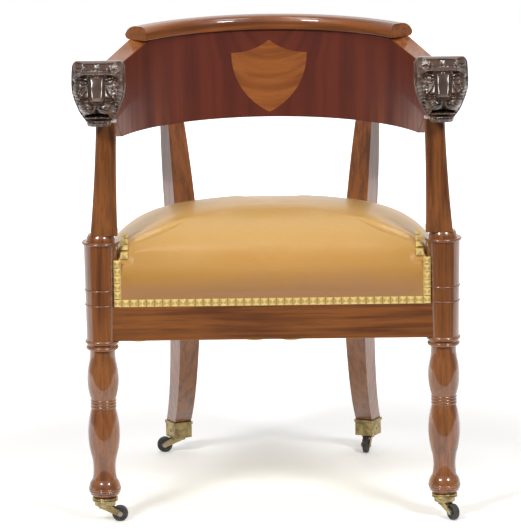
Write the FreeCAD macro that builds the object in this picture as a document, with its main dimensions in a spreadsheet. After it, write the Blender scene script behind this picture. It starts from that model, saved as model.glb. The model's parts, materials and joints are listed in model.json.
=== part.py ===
import FreeCAD, Part
import math
import os
import re

import Sketcher

# Desk armchair: turned front legs, sabre rear legs, wrap-round back with lion-head arms,
# stuffed leather seat and four casters. Millimetres, +Z up, floor at z = 0, front towards -Y.

SIZES = {
    # Plan of the frame
    "leg_spacing": 540.0,
    "leg_plane": -206.55,
    "rail_face": 18.5,
    "rail_thickness": 28.0,
    "seat_side_outset": 6.0,
    "seat_side_inset": 18.0,
    "seat_middle_depth": 180.0,
    "seat_corner_outset": 10.0,
    "seat_corner_depth": 358.0,
    "seat_depth": 396.0,
    # Casters
    "wheel_diameter": 25.4,
    "wheel_width": 9.0,
    "wheel_hub_radius": 5.4,
    "wheel_dish": 1.0,
    "wheel_edge": 1.0,
    "wheel_side_gap": 0.5,
    "axle_radius": 2.2,
    "axle_head_radius": 3.4,
    "axle_head_length": 1.2,
    "running_fit": 0.05,
    "swivel_trail": 23.5,
    "swivel_rise": 0.6,
    "swivel_gap": 0.3,
    "spindle_radius": 4.0,
    "spindle_head_radius": 6.0,
    "spindle_head_height": 2.0,
    "spindle_hole_radius": 7.2,
    "spindle_hole_depth": 9.0,
    "fork_crown_radius": 10.5,
    "fork_crown_height": 4.2,
    "cheek_thickness": 2.0,
    "cheek_back": 7.0,
    "cheek_front": 9.0,
    "cheek_boss": 4.6,
    "front_left_trail_angle": 0.0,
    "front_right_trail_angle": -57.3,
    "rear_left_trail_angle": 180.0,
    "rear_right_trail_angle": -99.7,
    "cup_floor": 3.0,
    "cup_height": 14.2,
    "cup_radius": 16.6,
    "cup_chamfer": 1.2,
    "cup_flange_radius": 20.5,
    "cup_flange_height": 7.0,
    "cup_flange_groove": 1.5,
    "cup_wall": 3.2,
    "socket_fit": 0.1,
    "socket_side": 31.8,
    "socket_height": 27.0,
    "socket_wall": 1.4,
    "socket_flange": 1.2,
    "socket_flange_height": 4.5,
    "socket_pin_radius": 2.2,
    "socket_pin_length": 9.0,
    "socket_pin_head": 1.2,
    # Turned front legs, from the foot up
    "foot_radius": 17.8,
    "bulb_height": 29.8,
    "bulb_radius": 25.2,
    "bulb_taper": 4.0,
    "bulb_lip": 3.6,
    "bulb_reed_height": 4.0,
    "bulb_reed_swell": 0.9,
    "bulb_shoulder_rise": 6.0,
    "bulb_shoulder_drop": 1.2,
    "bulb_neck_radius": 19.3,
    "lower_baluster": 115.2,
    "lower_neck_radius": 17.7,
    "lower_neck_rise": 12.7,
    "lower_waist_radius": 19.7,
    "lower_waist_rise": 35.5,
    "lower_belly_radius": 25.1,
    "lower_belly_rise": 80.0,
    "reed_height": 4.86,
    "reed_radius": 20.6,
    "reed_groove": 1.1,
    "upper_baluster": 77.3,
    "upper_belly_radius": 25.1,
    "upper_belly_rise": 34.0,
    "upper_waist_radius": 22.2,
    "upper_waist_rise": 58.0,
    "upper_neck_radius": 20.2,
    "upper_neck_swell": 0.5,
    "upper_neck_drop": 10.0,
    "necking": 4.0,
    "leg_bead_height": 6.4,
    "leg_bead_gap": 3.2,
    "leg_bead_root": 23.0,
    "lower_bead_radius": 26.0,
    "upper_bead_radius": 27.3,
    "post_height": 153.9,
    "post_bottom_radius": 24.8,
    "post_top_radius": 27.0,
    "post_bead_low": 57.0,
    "post_bead_high": 81.0,
    "post_bead_half": 1.3,
    "collar_thickness": 4.4,
    "collar_radius": 30.0,
    "collar_round": 1.2,
    "dome_height": 10.8,
    "dome_radius": 22.5,
    "dome_top_radius": 19.5,
    # Seat rails
    "rail_rise": 0.2,
    "rail_height": 54.2,
    "tack_height": 20.0,
    "bay_setback": 9.0,
    "leather": 2.0,
    "tenon_thickness": 9.0,
    "tenon_shoulder": 9.0,
    "tenon_depth": 14.0,
    "tenon_root": 8.0,
    "front_tenon_setback": 9.5,
    "side_tenon_offset": 8.0,
    "block_height": 34.0,
    "block_rise": 8.0,
    "front_block_reach": 96.0,
    "rear_block_side_reach": 62.0,
    "rear_block_back_reach": 66.0,
    "block_screw_radius": 2.4,
    "front_screw_along": 48.0,
    "front_screw_back": 14.0,
    "side_screw_along": 40.0,
    "side_screw_back": 34.0,
    "outer_screw_along": 12.0,
    "outer_screw_forward": 44.0,
    "inner_screw_along": 44.0,
    "inner_screw_forward": 2.0,
    "block_screw_length": 34.0,
    # Rear legs
    "rear_leg_half_rail": 142.0,
    "rear_leg_depth": 347.0,
    "rear_leg_yaw": 28.0,
    "rear_leg_rail_side": 38.5,
    "rear_leg_top_side": 29.3,
    "rear_leg_foot_side": 30.0,
    "stile_spread": 17.5,
    "foot_spread": 15.5,
    "foot_sweep": 113.0,
    "stile_tenon_side": 12.0,
    "stile_tenon_length": 30.0,
    # Arm supports
    "support_height": 181.7,
    "support_base_width": 43.0,
    "support_base_depth": 38.0,
    "support_top_width": 32.0,
    "support_top_depth": 32.0,
    "support_corner": 3.0,
    "support_inset": 6.0,
    "support_lean_in": 6.6,
    "support_bow": 6.0,
    "support_lean_forward": 2.0,
    "dowel_radius": 5.0,
    "dowel_reach": 26.0,
    # Wrap-round back
    "arm_outset": 2.0,
    "back_centre_depth": 162.0,
    "back_thickness": 28.0,
    "veneer": 1.2,
    "glue_line": 0.1,
    "arm_drop": 75.0,
    "panel_height": 145.5,
    "arm_joint_depth": 318.0,
    "ramp_start_depth": 337.0,
    "ramp_middle_depth": 292.0,
    "ramp_end_depth": 195.0,
    "ramp_drop": 29.0,
    "ramp_middle_drop": 18.5,
    "cove_start_depth": 260.5,
    "cove_middle_depth": 234.5,
    "cove_middle_rise": 28.0,
    "cove_end_depth": 192.0,
    "cove_end_rise": 50.0,
    "arm_under_rise": 79.0,
    "crest_thickness": 22.0,
    "crest_inner_overhang": 6.0,
    "crest_outer_overhang": 10.0,
    "crest_end_angle": 52.0,
    "crest_inner_height": 12.0,
    "crest_inner_round": 9.0,
    "crest_ridge": 15.0,
    "crest_nose_height": 7.5,
    "crest_nose_round": 7.5,
    "crest_fall_drop": 4.0,
    "crest_fall_back": 8.5,
    "crest_bottom_round": 2.0,
    "shield_half_width": 61.5,
    "shield_height": 119.6,
    "shield_rise": 8.1,
    "shield_corner_drop": 19.7,
    "shield_dip_half": 32.0,
    "shield_dip_drop": 16.7,
    "shield_flank_half": 50.0,
    "shield_flank_rise": 49.0,
    # Lion heads
    "head_inset": 2.0,
    "head_width": 82.0,
    "head_height": 102.0,
    "head_front": 70.0,
    "head_back": 22.0,
    "ear_width": 12.0,
    "ear_depth": 9.0,
    "ear_height": 13.0,
    "ear_inset": 11.0,
    "ear_drop": 12.0,
    "ear_setback": 12.0,
    # Upholstery
    "webbing_width": 50.0,
    "webbing_thickness": 2.0,
    "webbing_inset": 12.0,
    "webbing_spacing": 58.0,
    "webbing_cross_spacing": 76.0,
    "webbing_cross_start": 70.0,
    "hessian": 1.0,
    "hessian_inset": 6.0,
    "notch_clearance": 4.0,
    "seat_crown": 125.0,
    "cloth": 1.0,
    "cloth_inset": 8.0,
    "tack_radius": 3.0,
    "tack_thickness": 1.2,
    "tack_shank": 0.9,
    "tack_length": 9.0,
    "tack_inset": 12.0,
    "tack_pitch": 60.0,
    "nail_pitch": 12.7,
    "nail_side": 11.6,
    "nail_height": 3.2,
    "nail_shank": 1.0,
    "nail_length": 9.0,
    "nail_column_inset": 26.0,
    "notch_nail_inset": 37.0,
}

REED_COUNT = 3
BULB_REED_COUNT = 3
NAIL_COLUMN_COUNT = 5
NOTCH_NAIL_COUNT = 4
WEBBING_COUNT = 4

# Levels and places worked out from the sizes.
LEVELS = {
    "leg_x": "leg_spacing / 2",
    "seat_half_front": "leg_x + seat_side_outset",
    "seat_half_middle": "leg_x - seat_side_inset",
    "seat_half_rear": "rear_leg_half_rail + seat_corner_outset",
    "cup_bottom": "wheel_diameter + swivel_rise",
    "cup_inside": "cup_bottom + cup_floor",
    "foot_z": "cup_bottom + cup_height",
    "socket_top": "cup_bottom + socket_height",
    "bulb_reeds_z": "foot_z + bulb_lip",
    "bulb_shoulder_z": f"bulb_reeds_z + {BULB_REED_COUNT} * bulb_reed_height",
    "bulb_top": "foot_z + bulb_height",
    "reeds_z": "bulb_top + lower_baluster",
    "reeds_top": f"reeds_z + {REED_COUNT} * reed_height",
    "upper_neck_z": "reeds_top + upper_baluster",
    "lower_bead_z": "upper_neck_z + necking",
    "upper_bead_z": "lower_bead_z + leg_bead_height + leg_bead_gap",
    "post_z": "upper_bead_z + leg_bead_height",
    "collar_z": "post_z + post_height",
    "dome_z": "collar_z + collar_thickness",
    "dome_top": "dome_z + dome_height",
    "rail_z": "post_z + rail_rise",
    "rail_top": "rail_z + rail_height",
    "tack_top": "rail_top + tack_height",
    "front_face": "leg_plane - rail_face",
    "rear_leg_y": "leg_plane + rear_leg_depth",
    "foot_x": "rear_leg_half_rail + foot_spread",
    "foot_y": "rear_leg_y + foot_sweep",
    "back_centre": "leg_plane + back_centre_depth",
    "head_z": "dome_top + support_height",
    "head_top": "head_z + head_height",
    "arm_z": "head_z - arm_drop",
    "panel_top": "arm_z + panel_height",
    "arm_top": "panel_top - ramp_drop",
    "back_middle": "back_thickness / 2",
    "back_radius": "leg_x + arm_outset - back_middle",
    "stile_half_top": "rear_leg_half_rail + stile_spread",
    "stile_y": "back_centre + sqrt((back_radius + back_middle) ^ 2 - stile_half_top ^ 2)",
    "stile_lean": "stile_y - rear_leg_y",
    "webbing_z": "tack_top + webbing_thickness",
    "hessian_z": "tack_top + 2 * webbing_thickness",
    "stuffing_z": "hessian_z + hessian",
    "cheek_y": "wheel_width / 2 + wheel_side_gap",
    "fork_top": "cup_bottom - swivel_gap",
    "fork_crown_z": "fork_top - fork_crown_height",
    "axle_z": "wheel_diameter / 2",
    "support_x": "leg_x - support_inset",
    "head_x": "leg_x - head_inset",
    "seat_middle": "leg_plane + seat_middle_depth",
}

WORD = re.compile(r"[A-Za-z_][A-Za-z_0-9]*")
FAR = 2000.0
DIAGONAL = math.sqrt(0.5)

doc = FreeCAD.newDocument("desk_armchair")
sheet = doc.addObject("Spreadsheet::Sheet", "Sizes")
for row, (alias, number) in enumerate(SIZES.items(), start=1):
    sheet.set(f"A{row}", alias)
    sheet.set(f"B{row}", str(number))
    sheet.setAlias(f"B{row}", alias)
doc.recompute()

nodes = []


def bound(text):
    """Expression with every size and level written as references to the sheet."""

    def reference(found):
        word = found.group(0)
        if word in SIZES:
            return "Sizes." + word
        if word in LEVELS:
            return "(" + bound(LEVELS[word]) + ")"
        return word

    return WORD.sub(reference, str(text))


def measure(text):
    """Number that an expression gives at the present sizes."""
    return float(sheet.evalExpression(bound(text)))


def keep(piece, name):
    """Name a finished sub-part, which is written to a file of that name."""
    piece.Label = name
    nodes.append(piece)
    return piece


def place(piece, x=0, y=0, z=0, yaw=0, roll=0):
    """Bind a piece's position, its turn about Z and, before that, about X."""
    spot = f"create(<<vector>>; {bound(x)}; {bound(y)}; {bound(z)})"
    turn = f"create(<<rotation>>; {bound(yaw)}; 0; {bound(roll)})"
    piece.setExpression("Placement", f"create(<<placement>>; {spot}; {turn})")
    return piece


def draw(sketch, corners):
    """Closed outline of lines and three-point arcs with every corner bound to the sizes.

    A corner is (x, y), reached by a line, or (x, y, middle x, middle y), reached by an arc.
    """
    spots = [FreeCAD.Vector(measure(c[0]), measure(c[1]), 0) for c in corners]
    geometry = []
    ends = []
    for index, corner in enumerate(corners):
        start, end = spots[index - 1], spots[index]
        if len(corner) == 2:
            geometry.append(Part.LineSegment(start, end))
            ends.append((1, 2))
            continue
        middle = FreeCAD.Vector(measure(corner[2]), measure(corner[3]), 0)
        geometry.append(Part.Arc(start, middle, end))
        ends.append((1, 2) if (middle - start).cross(end - start).z > 0 else (2, 1))
    sketch.addGeometry(geometry, False)
    rules = []
    formulas = []

    def dimension(item, position, x, y):
        for kind, text in (("DistanceX", x), ("DistanceY", y)):
            rules.append(Sketcher.Constraint(kind, -1, 1, item, position, measure(text)))
            formulas.append((len(rules) - 1, bound(text)))

    for index, corner in enumerate(corners):
        following = (index + 1) % len(corners)
        rules.append(
            Sketcher.Constraint("Coincident", index, ends[index][1], following, ends[following][0])
        )
        dimension(index, ends[index][1], corner[0], corner[1])
        if len(corner) == 4:
            through = FreeCAD.Vector(measure(corner[2]), measure(corner[3]), 0)
            point = sketch.addGeometry(Part.Point(through), True)
            dimension(point, 1, corner[2], corner[3])
            rules.append(Sketcher.Constraint("PointOnObject", point, 1, index))
    sketch.addConstraint(rules)
    for index, formula in formulas:
        sketch.setExpression(f"Constraints[{index}]", formula)
    return sketch


def new_body(name):
    """Empty body."""
    return doc.addObject("PartDesign::Body", name)


def body_sketch(body, role, corners):
    """Outline on one of a body's own origin planes."""
    sketch = body.newObject("Sketcher::SketchObject", body.Name + "_outline")
    plane = next(item for item in body.Origin.OriginFeatures if item.Role == role)
    sketch.AttachmentSupport = (plane, "")
    sketch.MapMode = "FlatFace"
    return draw(sketch, corners)


def turning(name, corners):
    """Body turned about Z from an outline of radius and height."""
    body = new_body(name)
    sketch = body_sketch(body, "XZ_Plane", corners)
    feature = body.newObject("PartDesign::Revolution", name + "_turned")
    feature.Profile = sketch
    feature.ReferenceAxis = (sketch, ["V_Axis"])
    feature.Angle = 360
    sketch.Visibility = False
    return body


def section(name, corners, x=0, y=0, z=0, yaw=0, roll=0):
    """Outline in space, for a loft, a sweep or an extrusion."""
    sketch = draw(doc.addObject("Sketcher::SketchObject", name), corners)
    return place(sketch, x, y, z, yaw, roll)


def loft(name, sections):
    """Solid through several outlines."""
    piece = doc.addObject("Part::Loft", name)
    piece.Sections = sections
    piece.Solid = True
    return piece


def extrusion(name, outline, length, direction=FreeCAD.Vector(0, 0, 1)):
    """Solid pushed out from an outline along a direction."""
    piece = doc.addObject("Part::Extrusion", name)
    piece.Base = outline
    piece.DirMode = "Custom"
    piece.Dir = direction
    piece.setExpression("LengthFwd", bound(length))
    piece.Solid = True
    return piece


def box(name, size, corner, yaw=0):
    """Box from its size and its lowest corner."""
    piece = doc.addObject("Part::Box", name)
    for key, text in zip(("Length", "Width", "Height"), size):
        piece.setExpression(key, bound(text))
    return place(piece, *corner, yaw=yaw)


def post_box(name, side, height, x, y, z, yaw):
    """Upright square box about a vertical centre line."""
    half = f"({side}) / 2"
    corner_x = f"({x}) - {half} * (cos({yaw}) - sin({yaw}))"
    corner_y = f"({y}) - {half} * (cos({yaw}) + sin({yaw}))"
    return box(name, (side, side, height), (corner_x, corner_y, z), yaw)


def cylinder(name, radius, height, x=0, y=0, z=0, yaw=0, roll=0):
    """Round rod standing on a point."""
    piece = doc.addObject("Part::Cylinder", name)
    piece.setExpression("Radius", bound(radius))
    piece.setExpression("Height", bound(height))
    return place(piece, x, y, z, yaw, roll)


def fuse(name, *pieces):
    """Several solids made one."""
    piece = doc.addObject("Part::MultiFuse", name)
    piece.Shapes = list(pieces)
    return piece


def cut(name, base, *tools):
    """Solid with others taken out of it."""
    piece = doc.addObject("Part::Cut", name)
    piece.Base = base
    piece.Tool = tools[0] if len(tools) == 1 else fuse(name + "_tools", *tools)
    return piece


def common(name, first, second):
    """What two solids share."""
    piece = doc.addObject("Part::Common", name)
    piece.Base = first
    piece.Tool = second
    return piece


def mirror(source, name):
    """Right-hand copy of a left-hand sub-part."""
    piece = doc.addObject("Part::Mirroring", name)
    piece.Source = source
    piece.Normal = FreeCAD.Vector(1, 0, 0)
    return piece


def pair(left, name):
    """Left-hand sub-part and its mirror image, both kept."""
    keep(left, name + "_left")
    return keep(mirror(left, name + "_mirror"), name + "_right")


def group(name, shapes):
    """Repeated small fasteners as one node of separate solids."""
    piece = doc.addObject("Part::Feature", name)
    piece.Shape = Part.makeCompound(shapes)
    return keep(piece, name)


# Front legs


def leg_corners():
    """Outline of a front leg as radius and height, from the spindle hole up to the dome."""
    corners = [
        ("0", "cup_inside + spindle_hole_depth"),
        ("spindle_hole_radius", "cup_inside + spindle_hole_depth"),
        ("spindle_hole_radius", "cup_inside"),
        ("cup_radius - cup_wall - socket_fit", "cup_inside"),
        ("cup_radius - cup_wall - socket_fit", "foot_z"),
        ("foot_radius", "foot_z"),
    ]

    def bulb_root(index):
        return f"bulb_radius - bulb_taper * (1 - {index} / {BULB_REED_COUNT}) ^ 2"

    corners.append((bulb_root(0), "bulb_reeds_z"))
    for index in range(BULB_REED_COUNT):
        corners.append(
            (
                bulb_root(index + 1),
                f"bulb_reeds_z + {index + 1} * bulb_reed_height",
                f"{bulb_root(index + 0.5)} + bulb_reed_swell",
                f"bulb_reeds_z + {index + 0.5} * bulb_reed_height",
            )
        )
    corners += [
        (
            "bulb_neck_radius",
            "bulb_top",
            "bulb_radius - bulb_shoulder_drop",
            "bulb_shoulder_z + bulb_shoulder_rise",
        ),
        (
            "lower_waist_radius",
            "bulb_top + lower_waist_rise",
            "lower_neck_radius",
            "bulb_top + lower_neck_rise",
        ),
        (
            "reed_radius - reed_groove",
            "reeds_z",
            "lower_belly_radius",
            "bulb_top + lower_belly_rise",
        ),
    ]
    for index in range(REED_COUNT):
        corners.append(
            (
                "reed_radius - reed_groove",
                f"reeds_z + {index + 1} * reed_height",
                "reed_radius",
                f"reeds_z + {index + 0.5} * reed_height",
            )
        )
    corners += [
        (
            "upper_waist_radius",
            "reeds_top + upper_waist_rise",
            "upper_belly_radius",
            "reeds_top + upper_belly_rise",
        ),
        (
            "upper_neck_radius",
            "upper_neck_z",
            "upper_neck_radius + upper_neck_swell",
            "upper_neck_z - upper_neck_drop",
        ),
        ("upper_neck_radius", "lower_bead_z"),
        ("leg_bead_root", "lower_bead_z"),
        (
            "leg_bead_root",
            "lower_bead_z + leg_bead_height",
            "lower_bead_radius",
            "lower_bead_z + leg_bead_height / 2",
        ),
        ("leg_bead_root", "upper_bead_z"),
        (
            "post_bottom_radius",
            "post_z",
            "upper_bead_radius",
            "upper_bead_z + leg_bead_height / 2",
        ),
    ]
    for rise in ("post_bead_low", "post_bead_high"):
        radius = f"post_bottom_radius + (post_top_radius - post_bottom_radius) * {rise} / post_height"
        corners += [
            (radius, f"post_z + {rise} - post_bead_half"),
            (
                radius,
                f"post_z + {rise} + post_bead_half",
                f"{radius} + post_bead_half",
                f"post_z + {rise}",
            ),
        ]
    corners += [
        ("post_top_radius", "collar_z"),
        ("collar_radius - collar_round", "collar_z"),
        ("collar_radius - collar_round", "dome_z", "collar_radius", "collar_z + collar_thickness / 2"),
        ("dome_radius", "dome_z"),
        ("dome_top_radius", "dome_top", "dome_radius - collar_round / 2", "dome_z + dome_height / 2"),
        ("0", "dome_top"),
    ]
    return corners


turned_leg = place(turning("turned_leg", leg_corners()), "-leg_x", "leg_plane")
turned_leg_right = mirror(turned_leg, "turned_leg_right")


# Rear legs


LEG_TURN = "rear_leg_yaw"
FOOT_ALONG = f"(foot_sweep * sin({LEG_TURN}) - foot_spread * cos({LEG_TURN}))"
FOOT_ACROSS = f"(foot_sweep * cos({LEG_TURN}) + foot_spread * sin({LEG_TURN}))"
STILE_ALONG = f"(stile_lean * sin({LEG_TURN}) - stile_spread * cos({LEG_TURN}))"
STILE_ACROSS = f"(stile_lean * cos({LEG_TURN}) + stile_spread * sin({LEG_TURN}))"


def sawn_outline(foot, top):
    """One side of the left rear leg, swept to the foot below the rail and leaning to the top above it."""
    rail_half = "rear_leg_rail_side / 2"
    foot_half = "rear_leg_foot_side / 2"
    top_half = "rear_leg_top_side / 2"
    knee_half = "(rear_leg_rail_side + rear_leg_foot_side) / 4"
    waist_half = "(7 * rear_leg_rail_side + rear_leg_top_side) / 16"
    knee_z = "(rail_z + socket_top) / 2"
    waist_z = "(rail_top + arm_z) / 2"
    return [
        (f"{foot} - {foot_half}", "socket_top", f"{foot} / 4 - {knee_half}", knee_z),
        (f"{foot} + {foot_half}", "socket_top"),
        (rail_half, "rail_z", f"{foot} / 4 + {knee_half}", knee_z),
        (rail_half, "rail_top"),
        (f"{top} + {top_half}", "arm_z", f"{top} / 2 + {waist_half}", waist_z),
        (f"{top} - {top_half}", "arm_z"),
        (f"-{rail_half}", "rail_top", f"{top} / 2 - {waist_half}", waist_z),
        (f"-{rail_half}", "rail_z"),
    ]


def sawn(name, corners, yaw):
    """Thick plank with one sawn outline, standing along a direction of the left rear leg."""
    outline = section(name + "_outline", corners, "-rear_leg_half_rail", "rear_leg_y", 0, yaw, 90)
    piece = doc.addObject("Part::Extrusion", name)
    piece.Base = outline
    piece.DirMode = "Normal"
    piece.LengthFwd = FAR
    piece.Symmetric = True
    piece.Solid = True
    return piece


swept_leg = common(
    "swept_leg",
    sawn("sawn_along", sawn_outline(FOOT_ALONG, STILE_ALONG), LEG_TURN),
    sawn("sawn_across", sawn_outline(FOOT_ACROSS, STILE_ACROSS), f"{LEG_TURN} + 90"),
)
swept_leg_right = mirror(swept_leg, "swept_leg_right")
spigot = post_box(
    "rear_spigot",
    "socket_side - 2 * socket_wall - 2 * socket_fit",
    "socket_height - cup_floor",
    "-foot_x",
    "foot_y",
    "cup_inside",
    "rear_leg_yaw",
)
spigot_hole = cylinder(
    "rear_spindle_hole", "spindle_hole_radius", "spindle_hole_depth", "-foot_x", "foot_y", "cup_inside"
)
stile_tenon = post_box(
    "stile_tenon",
    "stile_tenon_side",
    "stile_tenon_length",
    "-stile_half_top",
    "stile_y",
    "arm_z",
    "rear_leg_yaw",
)
stile_tenon_right = mirror(stile_tenon, "stile_tenon_right")


# Seat rails


# Directions in which the bowed sides and the rear corners move when the plan is drawn in.
SIDE_INWARD = 0.97
SIDE_FORWARD = 0.1
CORNER_INWARD = 0.66
CORNER_FORWARD = 0.84


def seat_corners(inset):
    """Plan of the seat drawn in from its outer edge: straight front, bowed sides and back."""
    half = f"seat_half_front - ({inset})"
    front = f"front_face + ({inset})"
    middle_x = f"(seat_half_middle - {SIDE_INWARD} * ({inset}))"
    middle_y = f"seat_middle - {SIDE_FORWARD} * ({inset})"
    corner_x = f"(seat_half_rear - {CORNER_INWARD} * ({inset}))"
    corner_y = f"leg_plane + seat_corner_depth - {CORNER_FORWARD} * ({inset})"
    rear = f"leg_plane + seat_depth - ({inset})"
    return [
        (f"-({half})", front, f"-{middle_x}", middle_y),
        (half, front),
        (corner_x, corner_y, middle_x, middle_y),
        (f"-{corner_x}", corner_y, "0", rear),
    ]


def shrunk(corners, share):
    """Plan shrunk to a share of its size about the middle of the seat."""

    def along(text):
        return f"({text}) * {share}"

    def across(text):
        return f"seat_middle + ({text} - seat_middle) * {share}"

    return [
        tuple(across(text) if index % 2 else along(text) for index, text in enumerate(corner))
        for corner in corners
    ]


def seat_slab(name, inset, z, height):
    """Flat slab with the seat's plan."""
    return extrusion(name, section(name + "_plan", seat_corners(inset), z=z), height)


lower_ring = cut(
    "lower_ring",
    seat_slab("lower_ring_outside", "0", "rail_z", "rail_height"),
    seat_slab("lower_ring_inside", "rail_thickness", "rail_z", "rail_height"),
)
upper_ring = cut(
    "upper_ring",
    seat_slab("upper_ring_outside", "leather", "rail_top", "tack_height"),
    seat_slab("upper_ring_inside", "rail_thickness", "rail_top", "tack_height"),
)
rail_ring = fuse("rail_ring", lower_ring, upper_ring)
coped_ring = cut(
    "coped_ring", rail_ring, turned_leg, turned_leg_right, swept_leg, swept_leg_right
)
TENON_HEIGHT = "rail_height - 2 * tenon_shoulder"
TENON_Z = "rail_z + tenon_shoulder"
front_tenon = box(
    "front_tenon",
    ("tenon_depth + tenon_root", "tenon_thickness", TENON_HEIGHT),
    (
        "-(leg_x - post_bottom_radius + tenon_depth)",
        "front_face + front_tenon_setback",
        TENON_Z,
    ),
)
side_tenon = box(
    "side_tenon",
    ("tenon_thickness", "tenon_depth + tenon_root", TENON_HEIGHT),
    (
        "-(leg_x - side_tenon_offset + tenon_thickness / 2)",
        "leg_plane + post_bottom_radius - tenon_depth",
        TENON_Z,
    ),
)


def rear_tenon(name, start):
    """Tenon across the outer or inner face of the left rear leg, along the leg's own turn."""
    x = f"-rear_leg_half_rail + ({start}) * cos(rear_leg_yaw) + tenon_thickness / 2 * sin(rear_leg_yaw)"
    y = f"rear_leg_y + ({start}) * sin(rear_leg_yaw) - tenon_thickness / 2 * cos(rear_leg_yaw)"
    return box(
        name,
        ("tenon_depth + tenon_root / 4", "tenon_thickness", TENON_HEIGHT),
        (x, y, TENON_Z),
        "rear_leg_yaw",
    )


outer_tenon = rear_tenon("outer_tenon", "-(rear_leg_rail_side / 2 + tenon_root / 4)")
inner_tenon = rear_tenon("inner_tenon", "rear_leg_rail_side / 2 - tenon_depth")

front_bay = box(
    "front_bay",
    (FAR, "rail_face + rail_thickness", FAR),
    (-FAR / 2, "front_face - rail_face", 0),
)
side_bay = box(
    "side_bay",
    (FAR, FAR, FAR),
    (f"-rear_leg_half_rail - {FAR}", "front_face + rail_thickness", 0),
)
rear_bay = box(
    "rear_bay",
    ("2 * (rear_leg_half_rail - bay_setback)", FAR, FAR),
    ("-(rear_leg_half_rail - bay_setback)", "seat_middle", 0),
)
front_rail = fuse(
    "front_rail_joined",
    common("front_rail_plain", coped_ring, front_bay),
    front_tenon,
    mirror(front_tenon, "front_tenon_right"),
)
side_rail = fuse(
    "side_rail_joined", common("side_rail_plain", coped_ring, side_bay), side_tenon, outer_tenon
)
rear_rail = fuse(
    "rear_rail_joined",
    common("rear_rail_plain", coped_ring, rear_bay),
    inner_tenon,
    mirror(inner_tenon, "inner_tenon_right"),
)
keep(front_rail, "front_rail")
pair(side_rail, "side_rail")
keep(rear_rail, "rear_rail")

support_dowel = cylinder(
    "support_dowel", "dowel_radius", "2 * dowel_reach", "-support_x", "leg_plane", "dome_top - dowel_reach"
)
head_dowel = cylinder(
    "head_dowel",
    "dowel_radius",
    "2 * dowel_reach",
    "-(support_x - support_lean_in)",
    "leg_plane",
    "head_z - dowel_reach",
)
front_leg = cut("front_leg_mortised", turned_leg, front_tenon, side_tenon, support_dowel)
pair(front_leg, "front_leg")
rear_leg = cut(
    "rear_leg_mortised",
    fuse("rear_leg_whole", swept_leg, spigot, stile_tenon),
    outer_tenon,
    inner_tenon,
    spigot_hole,
)
pair(rear_leg, "rear_leg")


# Corner blocks: triangles glued into the corners of the rails


def corner_block(name, corners):
    """Three-cornered block trimmed to the rails and legs around it."""
    plan = section(name + "_plan", corners, z="rail_z + block_rise")
    blank = extrusion(name + "_blank", plan, "block_height")
    return cut(name + "_trimmed", blank, rail_ring, turned_leg, swept_leg)


front_block = corner_block(
    "front_block",
    [
        ("-leg_x", "front_face + rail_thickness / 2"),
        ("-leg_x + front_block_reach", "front_face + rail_thickness / 2"),
        ("-leg_x", "leg_plane + front_block_reach"),
    ],
)
rear_block = corner_block(
    "rear_block",
    [
        ("-rear_leg_half_rail", "rear_leg_y"),
        ("-rear_leg_half_rail - rear_block_side_reach / 2", "rear_leg_y - rear_block_side_reach"),
        ("-rear_leg_half_rail + rear_block_back_reach", "rear_leg_y + rail_thickness / 2"),
    ],
)
pair(front_block, "corner_block_front")
pair(rear_block, "corner_block_rear")


# Arm supports


def cornered(width, depth, corner):
    """Rectangle about the middle with its corners taken off."""
    half_x = f"({width}) / 2"
    half_y = f"({depth}) / 2"
    inner_x = f"({width}) / 2 - {corner}"
    inner_y = f"({depth}) / 2 - {corner}"
    return [
        (f"-({inner_x})", f"-({half_y})"),
        (inner_x, f"-({half_y})"),
        (half_x, f"-({inner_y})"),
        (half_x, inner_y),
        (inner_x, half_y),
        (f"-({inner_x})", half_y),
        (f"-({half_x})", inner_y),
        (f"-({half_x})", f"-({inner_y})"),
    ]


def support_sections():
    """Sections of the left arm support, bowed back and leaning inwards as it rises."""
    stations = []
    for index, share in enumerate((0.0, 0.2, 0.45, 0.75, 1.0)):
        width = f"support_top_width + (support_base_width - support_top_width) * (1 - {share}) ^ 2"
        depth = f"support_top_depth + (support_base_depth - support_top_depth) * (1 - {share}) ^ 2"
        stations.append(
            section(
                f"support_station_{index}",
                cornered(width, depth, "support_corner"),
                f"-(support_x - support_lean_in * {share})",
                f"leg_plane + support_bow * sin(180 * {share}) - support_lean_forward * {share}",
                f"dome_top + support_height * {share}",
            )
        )
    return stations


plain_support = loft("plain_support", support_sections())
pair(cut("support_bored", plain_support, support_dowel, head_dowel), "arm_support")


# Lion heads: the main masses of the carving, from the chin up to the crown

# Each level of a head: height, width, how far its front and back stand out and the rounding of
# its corners, as shares of the head's height, width, front, back and width.
HEAD_LEVELS = (
    (0.00, 0.47, 0.80, 0.60, 0.13),
    (0.10, 0.51, 0.86, 0.70, 0.15),
    (0.22, 0.68, 0.95, 0.85, 0.20),
    (0.36, 0.84, 1.00, 1.00, 0.26),
    (0.50, 0.97, 0.95, 1.00, 0.30),
    (0.64, 1.00, 0.87, 1.00, 0.28),
    (0.78, 0.99, 0.82, 1.00, 0.24),
    (0.90, 0.97, 0.74, 0.90, 0.24),
    (1.00, 0.90, 0.64, 0.55, 0.24),
)


def rounded(width, front, back, radius):
    """Rectangle from a front to a back line, with rounded corners."""
    half = f"({width}) / 2"
    soft = f"({radius}) * {1 - DIAGONAL}"
    straight = f"({half} - ({radius}))"
    near = f"(-({front}))"
    far = f"({back})"
    return [
        (f"-{straight}", near, f"-({half} - {soft})", f"{near} + {soft}"),
        (straight, near),
        (half, f"{near} + {radius}", f"{half} - {soft}", f"{near} + {soft}"),
        (half, f"{far} - {radius}"),
        (straight, far, f"{half} - {soft}", f"{far} - {soft}"),
        (f"-{straight}", far),
        (f"-{half}", f"{far} - {radius}", f"-({half} - {soft})", f"{far} - {soft}"),
        (f"-{half}", f"{near} + {radius}"),
    ]


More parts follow.
